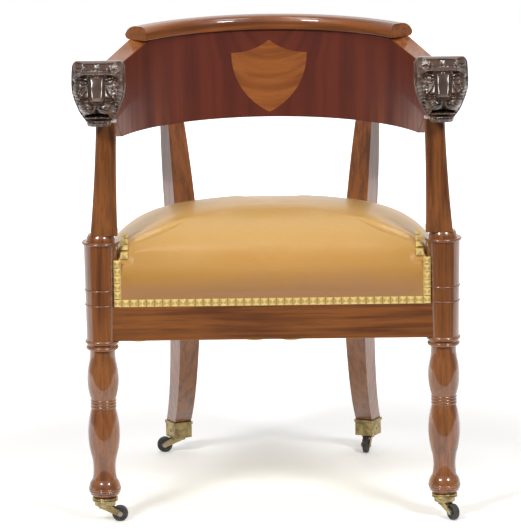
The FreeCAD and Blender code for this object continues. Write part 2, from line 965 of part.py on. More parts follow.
def head_sections():
    """Level sections of the left head, from the chin to the crown."""
    stations = []
    for index, (rise, width, front, back, corner) in enumerate(HEAD_LEVELS):
        outline = rounded(
            f"head_width * {width}",
            f"head_front * {front}",
            f"head_back * {back}",
            f"head_width * {corner}",
        )
        stations.append(
            section(f"head_level_{index}", outline, "-head_x", "leg_plane", f"head_z + head_height * {rise}")
        )
    return stations


def ear(name, side):
    """Rounded ear at a top corner of the left head."""
    piece = doc.addObject("Part::Ellipsoid", name)
    piece.setExpression("Radius1", bound("ear_height"))
    piece.setExpression("Radius2", bound("ear_width"))
    piece.setExpression("Radius3", bound("ear_depth"))
    return place(
        piece,
        f"-head_x {side} (head_width / 2 - ear_inset)",
        "leg_plane + ear_setback - ear_depth",
        "head_top - ear_drop",
    )


carved_head = fuse(
    "carved_head", loft("head_mass", head_sections()), ear("ear_outer", "-"), ear("ear_inner", "+")
)
pair(cut("head_bored", carved_head, head_dowel), "lion_head")


# Wrap-round back


def drum(name, offset, z, height):
    """Upright drum, half round behind and straight in front, at an offset from the back's inner face."""
    half = f"(back_radius + ({offset}))"
    front = "leg_plane - head_front"
    corners = [
        (f"-{half}", front),
        (half, front),
        (half, "back_centre"),
        (f"-{half}", "back_centre", "0", f"back_centre + {half}"),
    ]
    return extrusion(name, section(name + "_plan", corners, z=z), height)


def side_outline():
    """Side view of what the back loses in front: the ramp from the crest down to the arm."""
    return [
        ("leg_plane - head_front", "arm_top"),
        ("leg_plane + ramp_end_depth", "arm_top"),
        (
            "leg_plane + ramp_start_depth",
            "panel_top",
            "leg_plane + ramp_middle_depth",
            "panel_top - ramp_middle_drop",
        ),
        ("leg_plane + ramp_start_depth", "panel_top + crest_thickness"),
        ("leg_plane - head_front", "panel_top + crest_thickness"),
    ]


above_arms = extrusion(
    "above_arms",
    section("ramp_outline", side_outline(), f"-{FAR} / 2", yaw=90, roll=90),
    FAR,
    FreeCAD.Vector(1, 0, 0),
)


def under_outline():
    """Side view of what the arms lose below: the cove from the back up to the heads."""
    front = "leg_plane - head_front"
    return [
        (front, "arm_z - back_thickness"),
        ("leg_plane + cove_start_depth", "arm_z - back_thickness"),
        ("leg_plane + cove_start_depth", "arm_z"),
        (
            "leg_plane + cove_end_depth",
            "arm_z + cove_end_rise",
            "leg_plane + cove_middle_depth",
            "arm_z + cove_middle_rise",
        ),
        ("leg_plane", "arm_z + arm_under_rise"),
        (front, "arm_z + arm_under_rise"),
    ]


below_arms = extrusion(
    "below_arms",
    section("cove_outline", under_outline(), f"-{FAR} / 2", yaw=90, roll=90),
    FAR,
    FreeCAD.Vector(1, 0, 0),
)
front_half = box(
    "front_half",
    (FAR, FAR, FAR),
    (-FAR / 2, f"leg_plane - {FAR}", 0),
)
plain_support_right = mirror(plain_support, "plain_support_right")
carved_head_right = mirror(carved_head, "carved_head_right")


def back_layer(name, inner, outer):
    """Layer of the back between two offsets, trimmed to the ramps, supports and heads."""
    ring = cut(
        name + "_ring",
        drum(name + "_outside", outer, "arm_z", "panel_height"),
        drum(name + "_inside", inner, "arm_z", "panel_height"),
    )
    return cut(
        name,
        ring,
        front_half,
        above_arms,
        below_arms,
        plain_support,
        plain_support_right,
        carved_head,
        carved_head_right,
    )


left_half = box("left_half", (FAR, FAR, FAR), (-FAR, -FAR / 2, 0))
behind_joint = box(
    "behind_joint", (FAR, FAR, FAR), (-FAR / 2, "leg_plane + arm_joint_depth", 0)
)
core = back_layer("core", "veneer + glue_line", "back_thickness")
back_panel = cut(
    "back_panel_mortised",
    common("back_panel_plain", core, behind_joint),
    stile_tenon,
    stile_tenon_right,
)
keep(back_panel, "back_panel")
arm_half = common("arm_half", cut("arm_both", core, behind_joint), left_half)
pair(cut("arm_bored", arm_half, head_dowel), "arm")

SHIELD_Z = "arm_z + shield_rise"
SHIELD_TOP = f"{SHIELD_Z} + shield_height"
SHIELD_FLANK = f"{SHIELD_Z} + shield_flank_rise"
SHIELD_CORNER = f"{SHIELD_TOP} - shield_corner_drop"
SHIELD_DIP = f"{SHIELD_TOP} - shield_dip_drop"
shield_outline = [
    ("0", SHIELD_Z, "-shield_flank_half", SHIELD_FLANK),
    ("shield_half_width", SHIELD_CORNER, "shield_flank_half", SHIELD_FLANK),
    ("0", SHIELD_TOP, "shield_dip_half", SHIELD_DIP),
    ("-shield_half_width", SHIELD_CORNER, "-shield_dip_half", SHIELD_DIP),
]
shield_block = extrusion(
    "shield_block",
    section("shield_outline", shield_outline, 0, "back_centre", 0, roll=90),
    FAR,
    FreeCAD.Vector(0, 1, 0),
)
facing = back_layer("facing", "0", "veneer")
keep(common("shield_inlay", facing, shield_block), "shield_inlay")
pair(common("veneer_half", cut("veneer_both", facing, shield_block), left_half), "veneer")


# Crest rail


def crest_corners():
    """Section of the crest over the back: upright inside, falling in one sweep to a nose outside."""
    inner = "(back_radius - crest_inner_overhang)"
    outer = "(back_radius + back_thickness + crest_outer_overhang)"
    top = "crest_thickness"
    soft = 1 - DIAGONAL
    low = "crest_bottom_round"
    return [
        (f"{inner} + {low}", "0", f"{inner} + {soft} * {low}", f"{soft} * {low}"),
        (f"{outer} - crest_nose_round", "0"),
        (
            outer,
            "crest_nose_height",
            f"{outer} - {soft} * crest_nose_round",
            f"{soft} * crest_nose_height",
        ),
        (
            f"{inner} + crest_ridge",
            top,
            f"{outer} - crest_fall_back",
            f"{top} - crest_fall_drop",
        ),
        (
            inner,
            "crest_inner_height",
            f"{inner} + {soft} * crest_inner_round",
            f"{top} - {soft} * ({top} - crest_inner_height)",
        ),
        (inner, low),
    ]


crest = new_body("crest")
crest_sketch = body_sketch(crest, "XZ_Plane", crest_corners())
crest_turn = crest.newObject("PartDesign::Revolution", "crest_turned")
crest_turn.Profile = crest_sketch
crest_turn.ReferenceAxis = (crest_sketch, ["V_Axis"])
crest_turn.Midplane = True
crest_turn.setExpression("Angle", bound("2 * crest_end_angle"))
keep(place(crest, 0, "back_centre", "panel_top", 90), "crest_rail")


# Upholstery


def straps(name, boxes, z):
    """Strips of webbing trimmed to the rails they are tacked to."""
    slab = seat_slab(name + "_field", "webbing_inset", z, "webbing_thickness")
    return keep(common(name, fuse(name + "_strips", *boxes), slab), name)


OFFSETS = [index - (WEBBING_COUNT - 1) / 2 for index in range(WEBBING_COUNT)]
straps(
    "webbing_lengthwise",
    [
        box(
            f"long_strap_{index}",
            ("webbing_width", FAR, "webbing_thickness"),
            (f"webbing_spacing * {offset} - webbing_width / 2", -FAR / 2, "tack_top"),
        )
        for index, offset in enumerate(OFFSETS)
    ],
    "tack_top",
)
straps(
    "webbing_crosswise",
    [
        box(
            f"cross_strap_{index}",
            (FAR, "webbing_width", "webbing_thickness"),
            (
                -FAR / 2,
                f"leg_plane + webbing_cross_start + webbing_cross_spacing * {index} - webbing_width / 2",
                "webbing_z",
            ),
        )
        for index in range(WEBBING_COUNT)
    ],
    "webbing_z",
)
ALL_LEGS = (turned_leg, turned_leg_right, swept_leg, swept_leg_right)
hessian_sheet = seat_slab("hessian_sheet", "hessian_inset", "hessian_z", "hessian")
hessian_notch = post_box(
    "hessian_notch",
    "rear_leg_rail_side + 2 * notch_clearance",
    "3 * hessian",
    "-rear_leg_half_rail",
    "rear_leg_y",
    "hessian_z - hessian",
    "rear_leg_yaw",
)
HESSIAN_CUTS = (turned_leg, turned_leg_right, hessian_notch, mirror(hessian_notch, "hessian_notch_right"))
keep(cut("hessian_trimmed", hessian_sheet, *HESSIAN_CUTS), "hessian")

# Each station of the crowned seat: height as a share of the crown, and the plan's share of its size.
CROWN_STATIONS = (
    (0.00, 1.000),
    (0.25, 1.012),
    (0.50, 0.994),
    (0.69, 0.922),
    (0.83, 0.790),
    (0.93, 0.590),
    (0.982, 0.350),
    (1.00, 0.120),
)


def crowned(name, skin, base):
    """Crowned form of the seat, drawn in all over by a skin and standing on a level."""
    stations = []
    for index, (rise, size) in enumerate(CROWN_STATIONS):
        level = base if index == 0 else f"rail_top + (seat_crown - {skin}) * {rise}"
        stations.append(section(f"{name}_{index}", shrunk(seat_corners(skin), size), z=level))
    return loft(name, stations)


outside_form = crowned("outside_form", "0", "rail_top")
inside_form = crowned("inside_form", "leather", "rail_top - leather")
below_stuffing = box(
    "below_stuffing", (FAR, FAR, "stuffing_z"), (-FAR / 2, -FAR / 2, 0)
)
keep(cut("stuffing_trimmed", inside_form, below_stuffing, *ALL_LEGS), "seat_stuffing")
keep(cut("cover_trimmed", outside_form, inside_form, upper_ring, *ALL_LEGS), "seat_cover")


cloth_sheet = seat_slab("cloth_sheet", "cloth_inset", "rail_z - cloth", "cloth")
keep(cut("bottom_cloth_trimmed", cloth_sheet, *ALL_LEGS), "bottom_cloth")
doc.recompute()


# Fasteners


def edge_spots(inset, pitch):
    """Points and outward directions along the seat's plan, evenly spaced on each edge."""
    plan = section(f"spots_{len(doc.Objects)}", seat_corners(inset))
    doc.recompute()
    spots = []
    for edge in plan.Shape.Wires[0].OrderedEdges:
        count = max(1, round(edge.Length / pitch))
        for index in range(count):
            length = edge.Length * (index + 0.5) / count
            parameter = edge.getParameterByLength(length)
            tangent = edge.tangentAt(parameter)
            spot = edge.valueAt(parameter)
            outward = FreeCAD.Vector(tangent.y, -tangent.x, 0)
            middle = FreeCAD.Vector(0, measure("seat_middle"), 0)
            if outward.dot(spot - middle) < 0:
                outward = outward * -1
            spots.append((spot, outward))
    return spots


def clear_of_legs(spot, margin):
    """Whether a point of the plan lies away from the four legs."""
    legs = (
        (measure("leg_x"), measure("leg_plane"), measure("post_top_radius")),
        (measure("rear_leg_half_rail"), measure("rear_leg_y"), measure("rear_leg_rail_side / sqrt(2)")),
    )
    return all(math.hypot(abs(spot.x) - x, spot.y - y) > radius + margin for x, y, radius in legs)


def nail_shape():
    """Square pyramid head on a shank, pointing along +Z with its seat at the origin."""
    side = measure("nail_side")
    height = measure("nail_height")
    half = side / 2
    base = [
        FreeCAD.Vector(x, y, 0) for x, y in ((-half, -half), (half, -half), (half, half), (-half, half))
    ]
    tip = FreeCAD.Vector(0, 0, height)
    faces = [Part.Face(Part.makePolygon(base + [base[0]]))]
    for index in range(4):
        corner, following = base[index], base[(index + 1) % 4]
        faces.append(Part.Face(Part.makePolygon([corner, following, tip, corner])))
    head = Part.makeSolid(Part.makeShell(faces))
    shank = Part.makeCylinder(measure("nail_shank"), measure("nail_length"), FreeCAD.Vector(0, 0, 0))
    shank.translate(FreeCAD.Vector(0, 0, -measure("nail_length")))
    return head.fuse(shank)


def facing_out(shape, spot, outward):
    """Copy of a shape that points along +Z, set at a point and turned to face outwards."""
    level_axis = FreeCAD.Vector(-outward.y, outward.x, 0)
    upright = FreeCAD.Vector(0, 0, 1)
    copy = shape.copy()
    copy.Placement = FreeCAD.Placement(spot, FreeCAD.Rotation(level_axis, upright, outward, "ZXY"))
    return copy


# Clear distance from a leg to the middle of the nail beside it.
NAIL_MARGIN = 4.5


def nail_spots():
    """Seats of the nails: a row round the cover's lower edge and a column beside each post."""
    row_z = measure("rail_top + nail_pitch / 2")
    spots = []
    for spot, outward in edge_spots("0", measure("nail_pitch")):
        if clear_of_legs(spot, NAIL_MARGIN):
            spots.append((FreeCAD.Vector(spot.x, spot.y, row_z), outward))
    front = FreeCAD.Vector(0, -1, 0)
    for side in (-1, 1):
        x = side * measure("leg_x - nail_column_inset")
        for index in range(1, NAIL_COLUMN_COUNT + 1):
            z = row_z + index * measure("nail_pitch")
            spots.append((FreeCAD.Vector(x, measure("front_face"), z), front))
    return spots + notch_spots(row_z + NAIL_COLUMN_COUNT * measure("nail_pitch"))


def crown_front(z):
    """Front edge of the crowned seat at a level."""
    rise = (z - measure("rail_top")) / measure("seat_crown")
    for (low, near), (high, far) in zip(CROWN_STATIONS, CROWN_STATIONS[1:]):
        if low <= rise <= high:
            share = near + (far - near) * (rise - low) / (high - low)
            return measure(f"seat_middle + (front_face - seat_middle) * {share}")
    return measure("seat_middle")


def notch_spots(start_z):
    """Seats of the nails that follow the cover's edge over the crown, beside each post."""
    spots = []
    z = start_z
    for _ in range(NOTCH_NAIL_COUNT):
        fall = crown_front(z + 1) - crown_front(z)
        z += measure("nail_pitch") / math.hypot(1, fall)
        slope = crown_front(z + 1) - crown_front(z - 1)
        outward = FreeCAD.Vector(0, -2, slope).normalize()
        for side in (-1, 1):
            x = side * measure("leg_x - notch_nail_inset")
            spots.append((FreeCAD.Vector(x, crown_front(z), z), outward))
    return spots


nail = nail_shape()
group("decorative_nails", [facing_out(nail, spot, outward) for spot, outward in nail_spots()])


def tack_shape():
    """Flat-headed tack, head down, with its seat at the origin and its shank pointing up."""
    head = Part.makeCylinder(measure("tack_radius"), measure("tack_thickness"))
    head.translate(FreeCAD.Vector(0, 0, -measure("tack_thickness")))
    shank = Part.makeCylinder(measure("tack_shank"), measure("tack_length"))
    return head.fuse(shank)


tack = tack_shape()
tacks = []
for spot, outward in edge_spots("tack_inset", measure("tack_pitch")):
    if clear_of_legs(spot, measure("tack_radius")):
        seat = tack.copy()
        seat.translate(FreeCAD.Vector(spot.x, spot.y, measure("rail_z - cloth")))
        tacks.append(seat)
group("bottom_cloth_tacks", tacks)


def rod(radius, length, start, direction):
    """Round rod from a point along a direction."""
    return Part.makeCylinder(radius, length, start, direction)


# Each screw of a right-hand block: where it starts in plan and the direction it is driven in.
SCREWS = (
    ("leg_x - front_screw_along", "front_face + rail_thickness + front_screw_back", (0.3, -1.0)),
    ("leg_x - side_screw_along", "front_face + rail_thickness + side_screw_back", (1.0, 0.2)),
    ("rear_leg_half_rail + outer_screw_along", "rear_leg_y - outer_screw_forward", (1.0, 0.25)),
    ("rear_leg_half_rail - inner_screw_along", "rear_leg_y - inner_screw_forward", (0.0, 1.0)),
)
screw_z = measure("rail_z + block_rise + block_height / 2")
screws = []
for side in (-1, 1):
    for x, y, slant in SCREWS:
        start = FreeCAD.Vector(side * measure(x), measure(y), screw_z)
        direction = FreeCAD.Vector(side * slant[0], slant[1], 0)
        screws.append(rod(measure("block_screw_radius"), measure("block_screw_length"), start, direction))
group("corner_block_screws", screws)

dowels = []
for side in (-1, 1):
    for x, z in (
        (measure("support_x"), measure("dome_top")),
        (measure("support_x - support_lean_in"), measure("head_z")),
    ):
        start = FreeCAD.Vector(side * x, measure("leg_plane"), z - measure("dowel_reach"))
        upright = FreeCAD.Vector(0, 0, 1)
        dowels.append(rod(measure("dowel_radius"), 2 * measure("dowel_reach"), start, upright))
group("arm_dowels", dowels)

pin_z = measure("cup_bottom + (socket_height - socket_flange_height) / 2")
pins = []
for side in (-1, 1):
    for angle in (measure("rear_leg_yaw - 90"), measure("rear_leg_yaw + 180")):
        turn = math.radians(angle)
        outward = FreeCAD.Vector(math.cos(turn), math.sin(turn), 0)
        foot = FreeCAD.Vector(-measure("foot_x"), measure("foot_y"), pin_z)
        start = foot + outward * measure("socket_side / 2 + socket_pin_head - socket_pin_length")
        pin = rod(measure("socket_pin_radius"), measure("socket_pin_length"), start, outward)
        pins.append(pin if side < 0 else pin.mirror(FreeCAD.Vector(0, 0, 0), FreeCAD.Vector(1, 0, 0)))
group("socket_pins", pins)


# Casters

cup_corners = [
    ("spindle_radius + running_fit", "cup_bottom"),
    ("cup_radius - cup_chamfer", "cup_bottom"),
    ("cup_radius", "cup_bottom + cup_chamfer"),
    ("cup_radius", "foot_z - cup_flange_height"),
    ("cup_flange_radius - cup_flange_groove", "foot_z - cup_flange_height"),
    (
        "cup_flange_radius - cup_flange_groove",
        "foot_z - cup_flange_height / 2",
        "cup_flange_radius",
        "foot_z - 3 * cup_flange_height / 4",
    ),
    (
        "cup_flange_radius - cup_flange_groove",
        "foot_z",
        "cup_flange_radius",
        "foot_z - cup_flange_height / 4",
    ),
    ("cup_radius - cup_wall", "foot_z"),
    ("cup_radius - cup_wall", "cup_inside"),
    ("spindle_radius + running_fit", "cup_inside"),
]
cup = place(turning("cup", cup_corners), "-leg_x", "leg_plane")
pair(cup, "caster_cup_front")

socket = cut(
    "socket_bored",
    fuse(
        "socket_walls",
        post_box(
            "socket_box", "socket_side", "socket_height", "-foot_x", "foot_y", "cup_bottom", "rear_leg_yaw"
        ),
        post_box(
            "socket_rim",
            "socket_side + 2 * socket_flange",
            "socket_flange_height",
            "-foot_x",
            "foot_y",
            "socket_top - socket_flange_height",
            "rear_leg_yaw",
        ),
    ),
    post_box(
        "socket_hollow",
        "socket_side - 2 * socket_wall",
        "socket_height",
        "-foot_x",
        "foot_y",
        "cup_inside",
        "rear_leg_yaw",
    ),
    cylinder("socket_bore", "spindle_radius + running_fit", "cup_bottom", "-foot_x", "foot_y", "cup_floor"),
)
pair(socket, "caster_socket_rear")


def wheel_corners():
    """Half section of a wheel as radius and width: bore, hub, dished web and tread."""
    half = "wheel_width / 2"
    tread = "wheel_diameter / 2"
    rim = f"{tread} - 2 * wheel_edge - wheel_dish"
    return [
        ("axle_radius + running_fit", f"-{half}"),
        ("wheel_hub_radius", f"-{half}"),
        ("wheel_hub_radius", f"-{half} + wheel_dish"),
        (rim, f"-{half} + wheel_dish"),
        (rim, f"-{half}"),
        (f"{tread} - wheel_edge", f"-{half}"),
        (tread, f"-{half} + wheel_edge"),
        (tread, f"{half} - wheel_edge"),
        (f"{tread} - wheel_edge", half),
        (rim, half),
        (rim, f"{half} - wheel_dish"),
        ("wheel_hub_radius", f"{half} - wheel_dish"),
        ("wheel_hub_radius", half),
        ("axle_radius + running_fit", half),
    ]


CHEEK_CORNERS = [
    ("-cheek_back", "fork_top"),
    ("cheek_front", "fork_top"),
    (f"swivel_trail + cheek_boss * {DIAGONAL}", f"axle_z + cheek_boss * {DIAGONAL}"),
    ("swivel_trail", "axle_z - cheek_boss", "swivel_trail + cheek_boss", "axle_z"),
    (f"swivel_trail - cheek_boss * {DIAGONAL}", f"axle_z - cheek_boss * {DIAGONAL}"),
    ("-cheek_back", "fork_crown_z"),
]


def caster(corner, x, y):
    """Fork, axle and wheel of one caster, turned to its resting direction."""
    angle = f"{corner}_trail_angle"
    cheeks = []
    for hand, start in (("near", "-cheek_y - cheek_thickness"), ("far", "cheek_y")):
        outline = section(f"{corner}_{hand}_cheek_outline", CHEEK_CORNERS, 0, start, 0, roll=90)
        cheeks.append(
            extrusion(f"{corner}_{hand}_cheek", outline, "cheek_thickness", FreeCAD.Vector(0, 1, 0))
        )
    solid_fork = fuse(
        f"{corner}_fork_solid",
        cylinder(f"{corner}_crown", "fork_crown_radius", "fork_crown_height", z="fork_crown_z"),
        cylinder(
            f"{corner}_spindle",
            "spindle_radius",
            "cup_floor + swivel_gap * 2 + spindle_head_height",
            z="fork_top",
        ),
        cylinder(
            f"{corner}_spindle_head",
            "spindle_head_radius",
            "spindle_head_height",
            z="cup_inside + swivel_gap",
        ),
        *cheeks,
    )
    pin_length = "2 * (cheek_y + cheek_thickness)"
    bore = cylinder(
        f"{corner}_bore", "axle_radius", pin_length, "swivel_trail", f"{pin_length} / 2", "axle_z", roll=90
    )
    fork = cut(f"{corner}_fork", solid_fork, bore)
    keep(place(fork, x, y, 0, angle), f"caster_fork_{corner}")
    axle = fuse(
        f"{corner}_axle",
        cylinder(
            f"{corner}_axle_pin",
            "axle_radius",
            pin_length,
            "swivel_trail",
            f"{pin_length} / 2",
            "axle_z",
            roll=90,
        ),
        cylinder(
            f"{corner}_axle_head_far",
            "axle_head_radius",
            "axle_head_length",
            "swivel_trail",
            f"{pin_length} / 2 + axle_head_length",
            "axle_z",
            roll=90,
        ),
        cylinder(
            f"{corner}_axle_head_near",
            "axle_head_radius",
            "axle_head_length",
            "swivel_trail",
            f"-{pin_length} / 2",
            "axle_z",
            roll=90,
        ),
    )
    keep(place(axle, x, y, 0, angle), f"caster_axle_{corner}")
    wheel = turning(f"{corner}_wheel", wheel_corners())
    place(
        wheel,
        f"({x}) + swivel_trail * cos({angle})",
        f"({y}) + swivel_trail * sin({angle})",
        "axle_z",
        angle,
        90,
    )
    keep(wheel, f"caster_wheel_{corner}")


caster("front_left", "-leg_x", "leg_plane")
caster("front_right", "leg_x", "leg_plane")
caster("rear_left", "-foot_x", "foot_y")
caster("rear_right", "foot_x", "foot_y")
doc.recompute()


def check_document():
    """Stop if any object failed or any sub-part is missing or broken."""
    for item in doc.Objects:
        if {"Invalid", "Error"} & set(item.State):
            raise RuntimeError(f"{item.Name} failed: {item.State}")
    for piece in nodes:
        shape = piece.Shape
        if shape.isNull() or not shape.isValid() or not shape.Solids:
            raise RuntimeError(f"{piece.Label} has no sound solid")


check_document()
os.makedirs("parts", exist_ok=True)
for piece in nodes:
    piece.Shape.exportStep(f"parts/{piece.Label}.step")
    span = piece.Shape.optimalBoundingBox(True, False)
    print(
        f"{piece.Label}: {len(piece.Shape.Solids)} solids, {piece.Shape.Volume:.0f} mm3,"
        f" x {span.XMin:.1f}..{span.XMax:.1f}"
        f" y {span.YMin:.1f}..{span.YMax:.1f}"
        f" z {span.ZMin:.1f}..{span.ZMax:.1f}"
    )
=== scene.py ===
"""Looks of the desk armchair: finishes, carved heads, leather seat and studio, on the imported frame."""

import json
import logging
import math
from dataclasses import dataclass
from enum import Enum

import bpy
import numpy as np
from mathutils import Matrix, Vector


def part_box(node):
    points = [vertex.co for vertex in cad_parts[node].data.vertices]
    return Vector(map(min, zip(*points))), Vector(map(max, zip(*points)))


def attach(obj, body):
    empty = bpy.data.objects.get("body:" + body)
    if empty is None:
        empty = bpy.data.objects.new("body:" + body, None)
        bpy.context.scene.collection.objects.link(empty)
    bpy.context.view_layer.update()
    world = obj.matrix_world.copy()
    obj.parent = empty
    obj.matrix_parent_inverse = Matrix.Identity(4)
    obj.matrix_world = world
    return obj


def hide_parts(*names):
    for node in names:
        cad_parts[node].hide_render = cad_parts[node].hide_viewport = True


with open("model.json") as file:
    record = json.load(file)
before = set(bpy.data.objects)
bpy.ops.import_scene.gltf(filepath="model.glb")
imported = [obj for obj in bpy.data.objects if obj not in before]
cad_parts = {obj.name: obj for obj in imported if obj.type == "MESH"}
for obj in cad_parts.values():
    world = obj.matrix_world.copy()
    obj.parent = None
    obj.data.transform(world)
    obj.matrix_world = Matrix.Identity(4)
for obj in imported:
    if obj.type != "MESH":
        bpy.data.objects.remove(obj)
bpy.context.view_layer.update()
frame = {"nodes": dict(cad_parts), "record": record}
log = logging.getLogger("armchair")

Pair = tuple[float, float]
Triple = tuple[float, float, float]
Colour = Triple
Socket = bpy.types.NodeSocket

# Upright axis of the wrap-round back, in plan, and the radius of its inner face.
BACK_CENTRE_Y = -0.04455
BACK_RADIUS = 0.258
MILLIMETRE = 0.001


class Grain(Enum):
    """Direction in which the grain of a piece of wood runs."""

    ACROSS = "x"
    LENGTHWISE = "y"
    UPRIGHT = "z"
    ROUND = "round the back"


class Side(Enum):
    """Side of the chair as the photograph shows it."""

    LEFT = -1
    RIGHT = 1

    @property
    def word(self) -> str:
        """Side as the nodes' names write it."""
        return self.name.lower()


# Node graphs


class Graph:
    """Procedural material laid out node by node round one principled shader."""

    def __init__(self, name: str) -> None:
        """Start a material.

        Args:
            name: Name of the material.
        """
        self.material = bpy.data.materials.new(name)
        self.material.use_nodes = True
        self.tree = self.material.node_tree
        self.shader = self.tree.nodes["Principled BSDF"]

    def node(self, kind: str, **settings: object) -> bpy.types.Node:
        """Add a node.

        Args:
            kind: Blender's name for the node's type.
            settings: Properties set on the node.

        Returns:
            The new node.
        """
        made = self.tree.nodes.new(kind)
        for key, value in settings.items():
            setattr(made, key, value)
        return made

    def feed(self, target: Socket, value: "Socket | float | Colour") -> None:
        """Link a socket to an input, or set the input to a plain value.

        Args:
            target: Input to link or set.
            value: Socket, number or colour.
        """
        if isinstance(value, bpy.types.NodeSocket):
            self.tree.links.new(value, target)
        elif isinstance(value, tuple) and target.type == "RGBA":
            target.default_value = (*value, 1.0)
        else:
            target.default_value = value

    def shade(self, **values: "Socket | float | Colour") -> None:
        """Set inputs of the shader by name, with underscores for spaces."""
        for key, value in values.items():
            self.feed(self.shader.inputs[key.replace("_", " ")], value)

    def place(self) -> Socket:
        """Position on the object, in metres."""
        return self.node("ShaderNodeTexCoord").outputs["Object"]

    def split(self, vector: Socket) -> tuple[Socket, Socket, Socket]:
        """The three parts of a vector.

        Args:
            vector: Vector to take apart.

        Returns:
            Its x, y and z.
        """
        made = self.node("ShaderNodeSeparateXYZ")
        self.feed(made.inputs[0], vector)
        return made.outputs[0], made.outputs[1], made.outputs[2]

    def join(self, x: "Socket | float", y: "Socket | float", z: "Socket | float") -> Socket:
        """Vector made of three parts.

        Args:
            x: First part.
            y: Second part.
            z: Third part.

        Returns:
            The vector.
        """
        made = self.node("ShaderNodeCombineXYZ")
        for target, value in zip(made.inputs, (x, y, z)):
            self.feed(target, value)
        return made.outputs[0]

    def math(self, operation: str, first: "Socket | float", second: "Socket | float" = 0.0) -> Socket:
        """One sum on two numbers.

        Args:
            operation: Blender's name for the sum.
            first: First number.
            second: Second number.

        Returns:
            The result.
        """
        made = self.node("ShaderNodeMath", operation=operation)
        self.feed(made.inputs[0], first)
        self.feed(made.inputs[1], second)
        return made.outputs[0]

    def times(self, first: "Socket | float", second: "Socket | float") -> Socket:
        """Product of two numbers."""
        return self.math("MULTIPLY", first, second)

    def less(self, factor: Socket) -> Socket:
        """What is left of one after a number is taken from it."""
        return self.math("SUBTRACT", 1.0, factor)

    def length(self, first: Socket, second: Socket) -> Socket:
        """Length of a stretch that runs by two numbers at right angles."""
        squares = self.math("ADD", self.math("POWER", first, 2.0), self.math("POWER", second, 2.0))
        return self.math("POWER", squares, 0.5)

    def scaled(self, vector: Socket, scale: Colour) -> Socket:
        """Vector stretched along its three directions.

        Args:
            vector: Vector to stretch.
            scale: Factor for each direction.

        Returns:
            The stretched vector.
        """
        made = self.node("ShaderNodeVectorMath", operation="MULTIPLY")
        self.feed(made.inputs[0], vector)
        made.inputs[1].default_value = scale
        return made.outputs[0]

    def noise(self, vector: Socket, scale: float, detail: float = 2.0, distortion: float = 0.0) -> Socket:
        """Cloudy noise from 0 to 1.

        Args:
            vector: Place on the piece.
            scale: Fineness of the clouds.
            detail: Levels of finer noise.
            distortion: Amount of swirl.

        Returns:
            The noise.
        """
        made = self.node("ShaderNodeTexNoise")
        self.feed(made.inputs["Vector"], vector)
        made.inputs["Scale"].default_value = scale
        made.inputs["Detail"].default_value = detail
        made.inputs["Distortion"].default_value = distortion
        return made.outputs["Fac"]

    def cells(self, vector: Socket, scale: float) -> Socket:
        """Distance pattern of scattered cells.

        Args:
            vector: Place on the piece.
            scale: Fineness of the cells.

        Returns:
            Distance to the nearest cell.
        """
        made = self.node("ShaderNodeTexVoronoi")
        self.feed(made.inputs["Vector"], vector)
        made.inputs["Scale"].default_value = scale
        return made.outputs["Distance"]

    def ramp(self, factor: Socket, low: float, high: float) -> Socket:
        """Smooth step from 0 to 1 between two values.

        Args:
            factor: Number to compare.
            low: Value at which the step starts.
            high: Value at which it ends.

        Returns:
            The step.
        """
        made = self.node("ShaderNodeMapRange", interpolation_type="SMOOTHSTEP")
        self.feed(made.inputs["Value"], factor)
        made.inputs["From Min"].default_value = low
        made.inputs["From Max"].default_value = high
        return made.outputs["Result"]

    def range(self, factor: Socket, low: float, high: float) -> Socket:
        """Number from 0 to 1 spread between two values.

        Args:
            factor: Number from 0 to 1.
            low: Result at 0.
            high: Result at 1.

        Returns:
            The result.
        """
        made = self.node("ShaderNodeMapRange")
        self.feed(made.inputs["Value"], factor)
        made.inputs["To Min"].default_value = low
        made.inputs["To Max"].default_value = high
        return made.outputs["Result"]

    def mix(self, factor: "Socket | float", first: "Socket | Colour", second: "Socket | Colour") -> Socket:
        """Blend of two colours.

        Args:
            factor: Share of the second colour.
            first: First colour.
            second: Second colour.

        Returns:
            The blend.
        """
        made = self.node("ShaderNodeMix", data_type="RGBA")
        self.feed(made.inputs["Factor"], factor)
        self.feed(made.inputs[6], first)
        self.feed(made.inputs[7], second)
        return made.outputs[2]

    def bump(self, height: Socket, strength: float, distance: float) -> Socket:
        """Normal raised by a height pattern.

        Args:
            height: Height pattern.
            strength: Share of the effect.
            distance: Height of the pattern, in metres.

        Returns:
            The normal.
        """
        made = self.node("ShaderNodeBump")
        made.inputs["Strength"].default_value = strength
        made.inputs["Distance"].default_value = distance
        self.feed(made.inputs["Height"], height)
        return made.outputs["Normal"]


# Finishes

# How far each pattern of the wood is drawn out along the grain.
STREAK_STRETCH = (1.0, 1.0, 0.045)
FIBRE_STRETCH = (1.0, 1.0, 0.03)
PORE_STRETCH = (1.0, 1.0, 0.05)


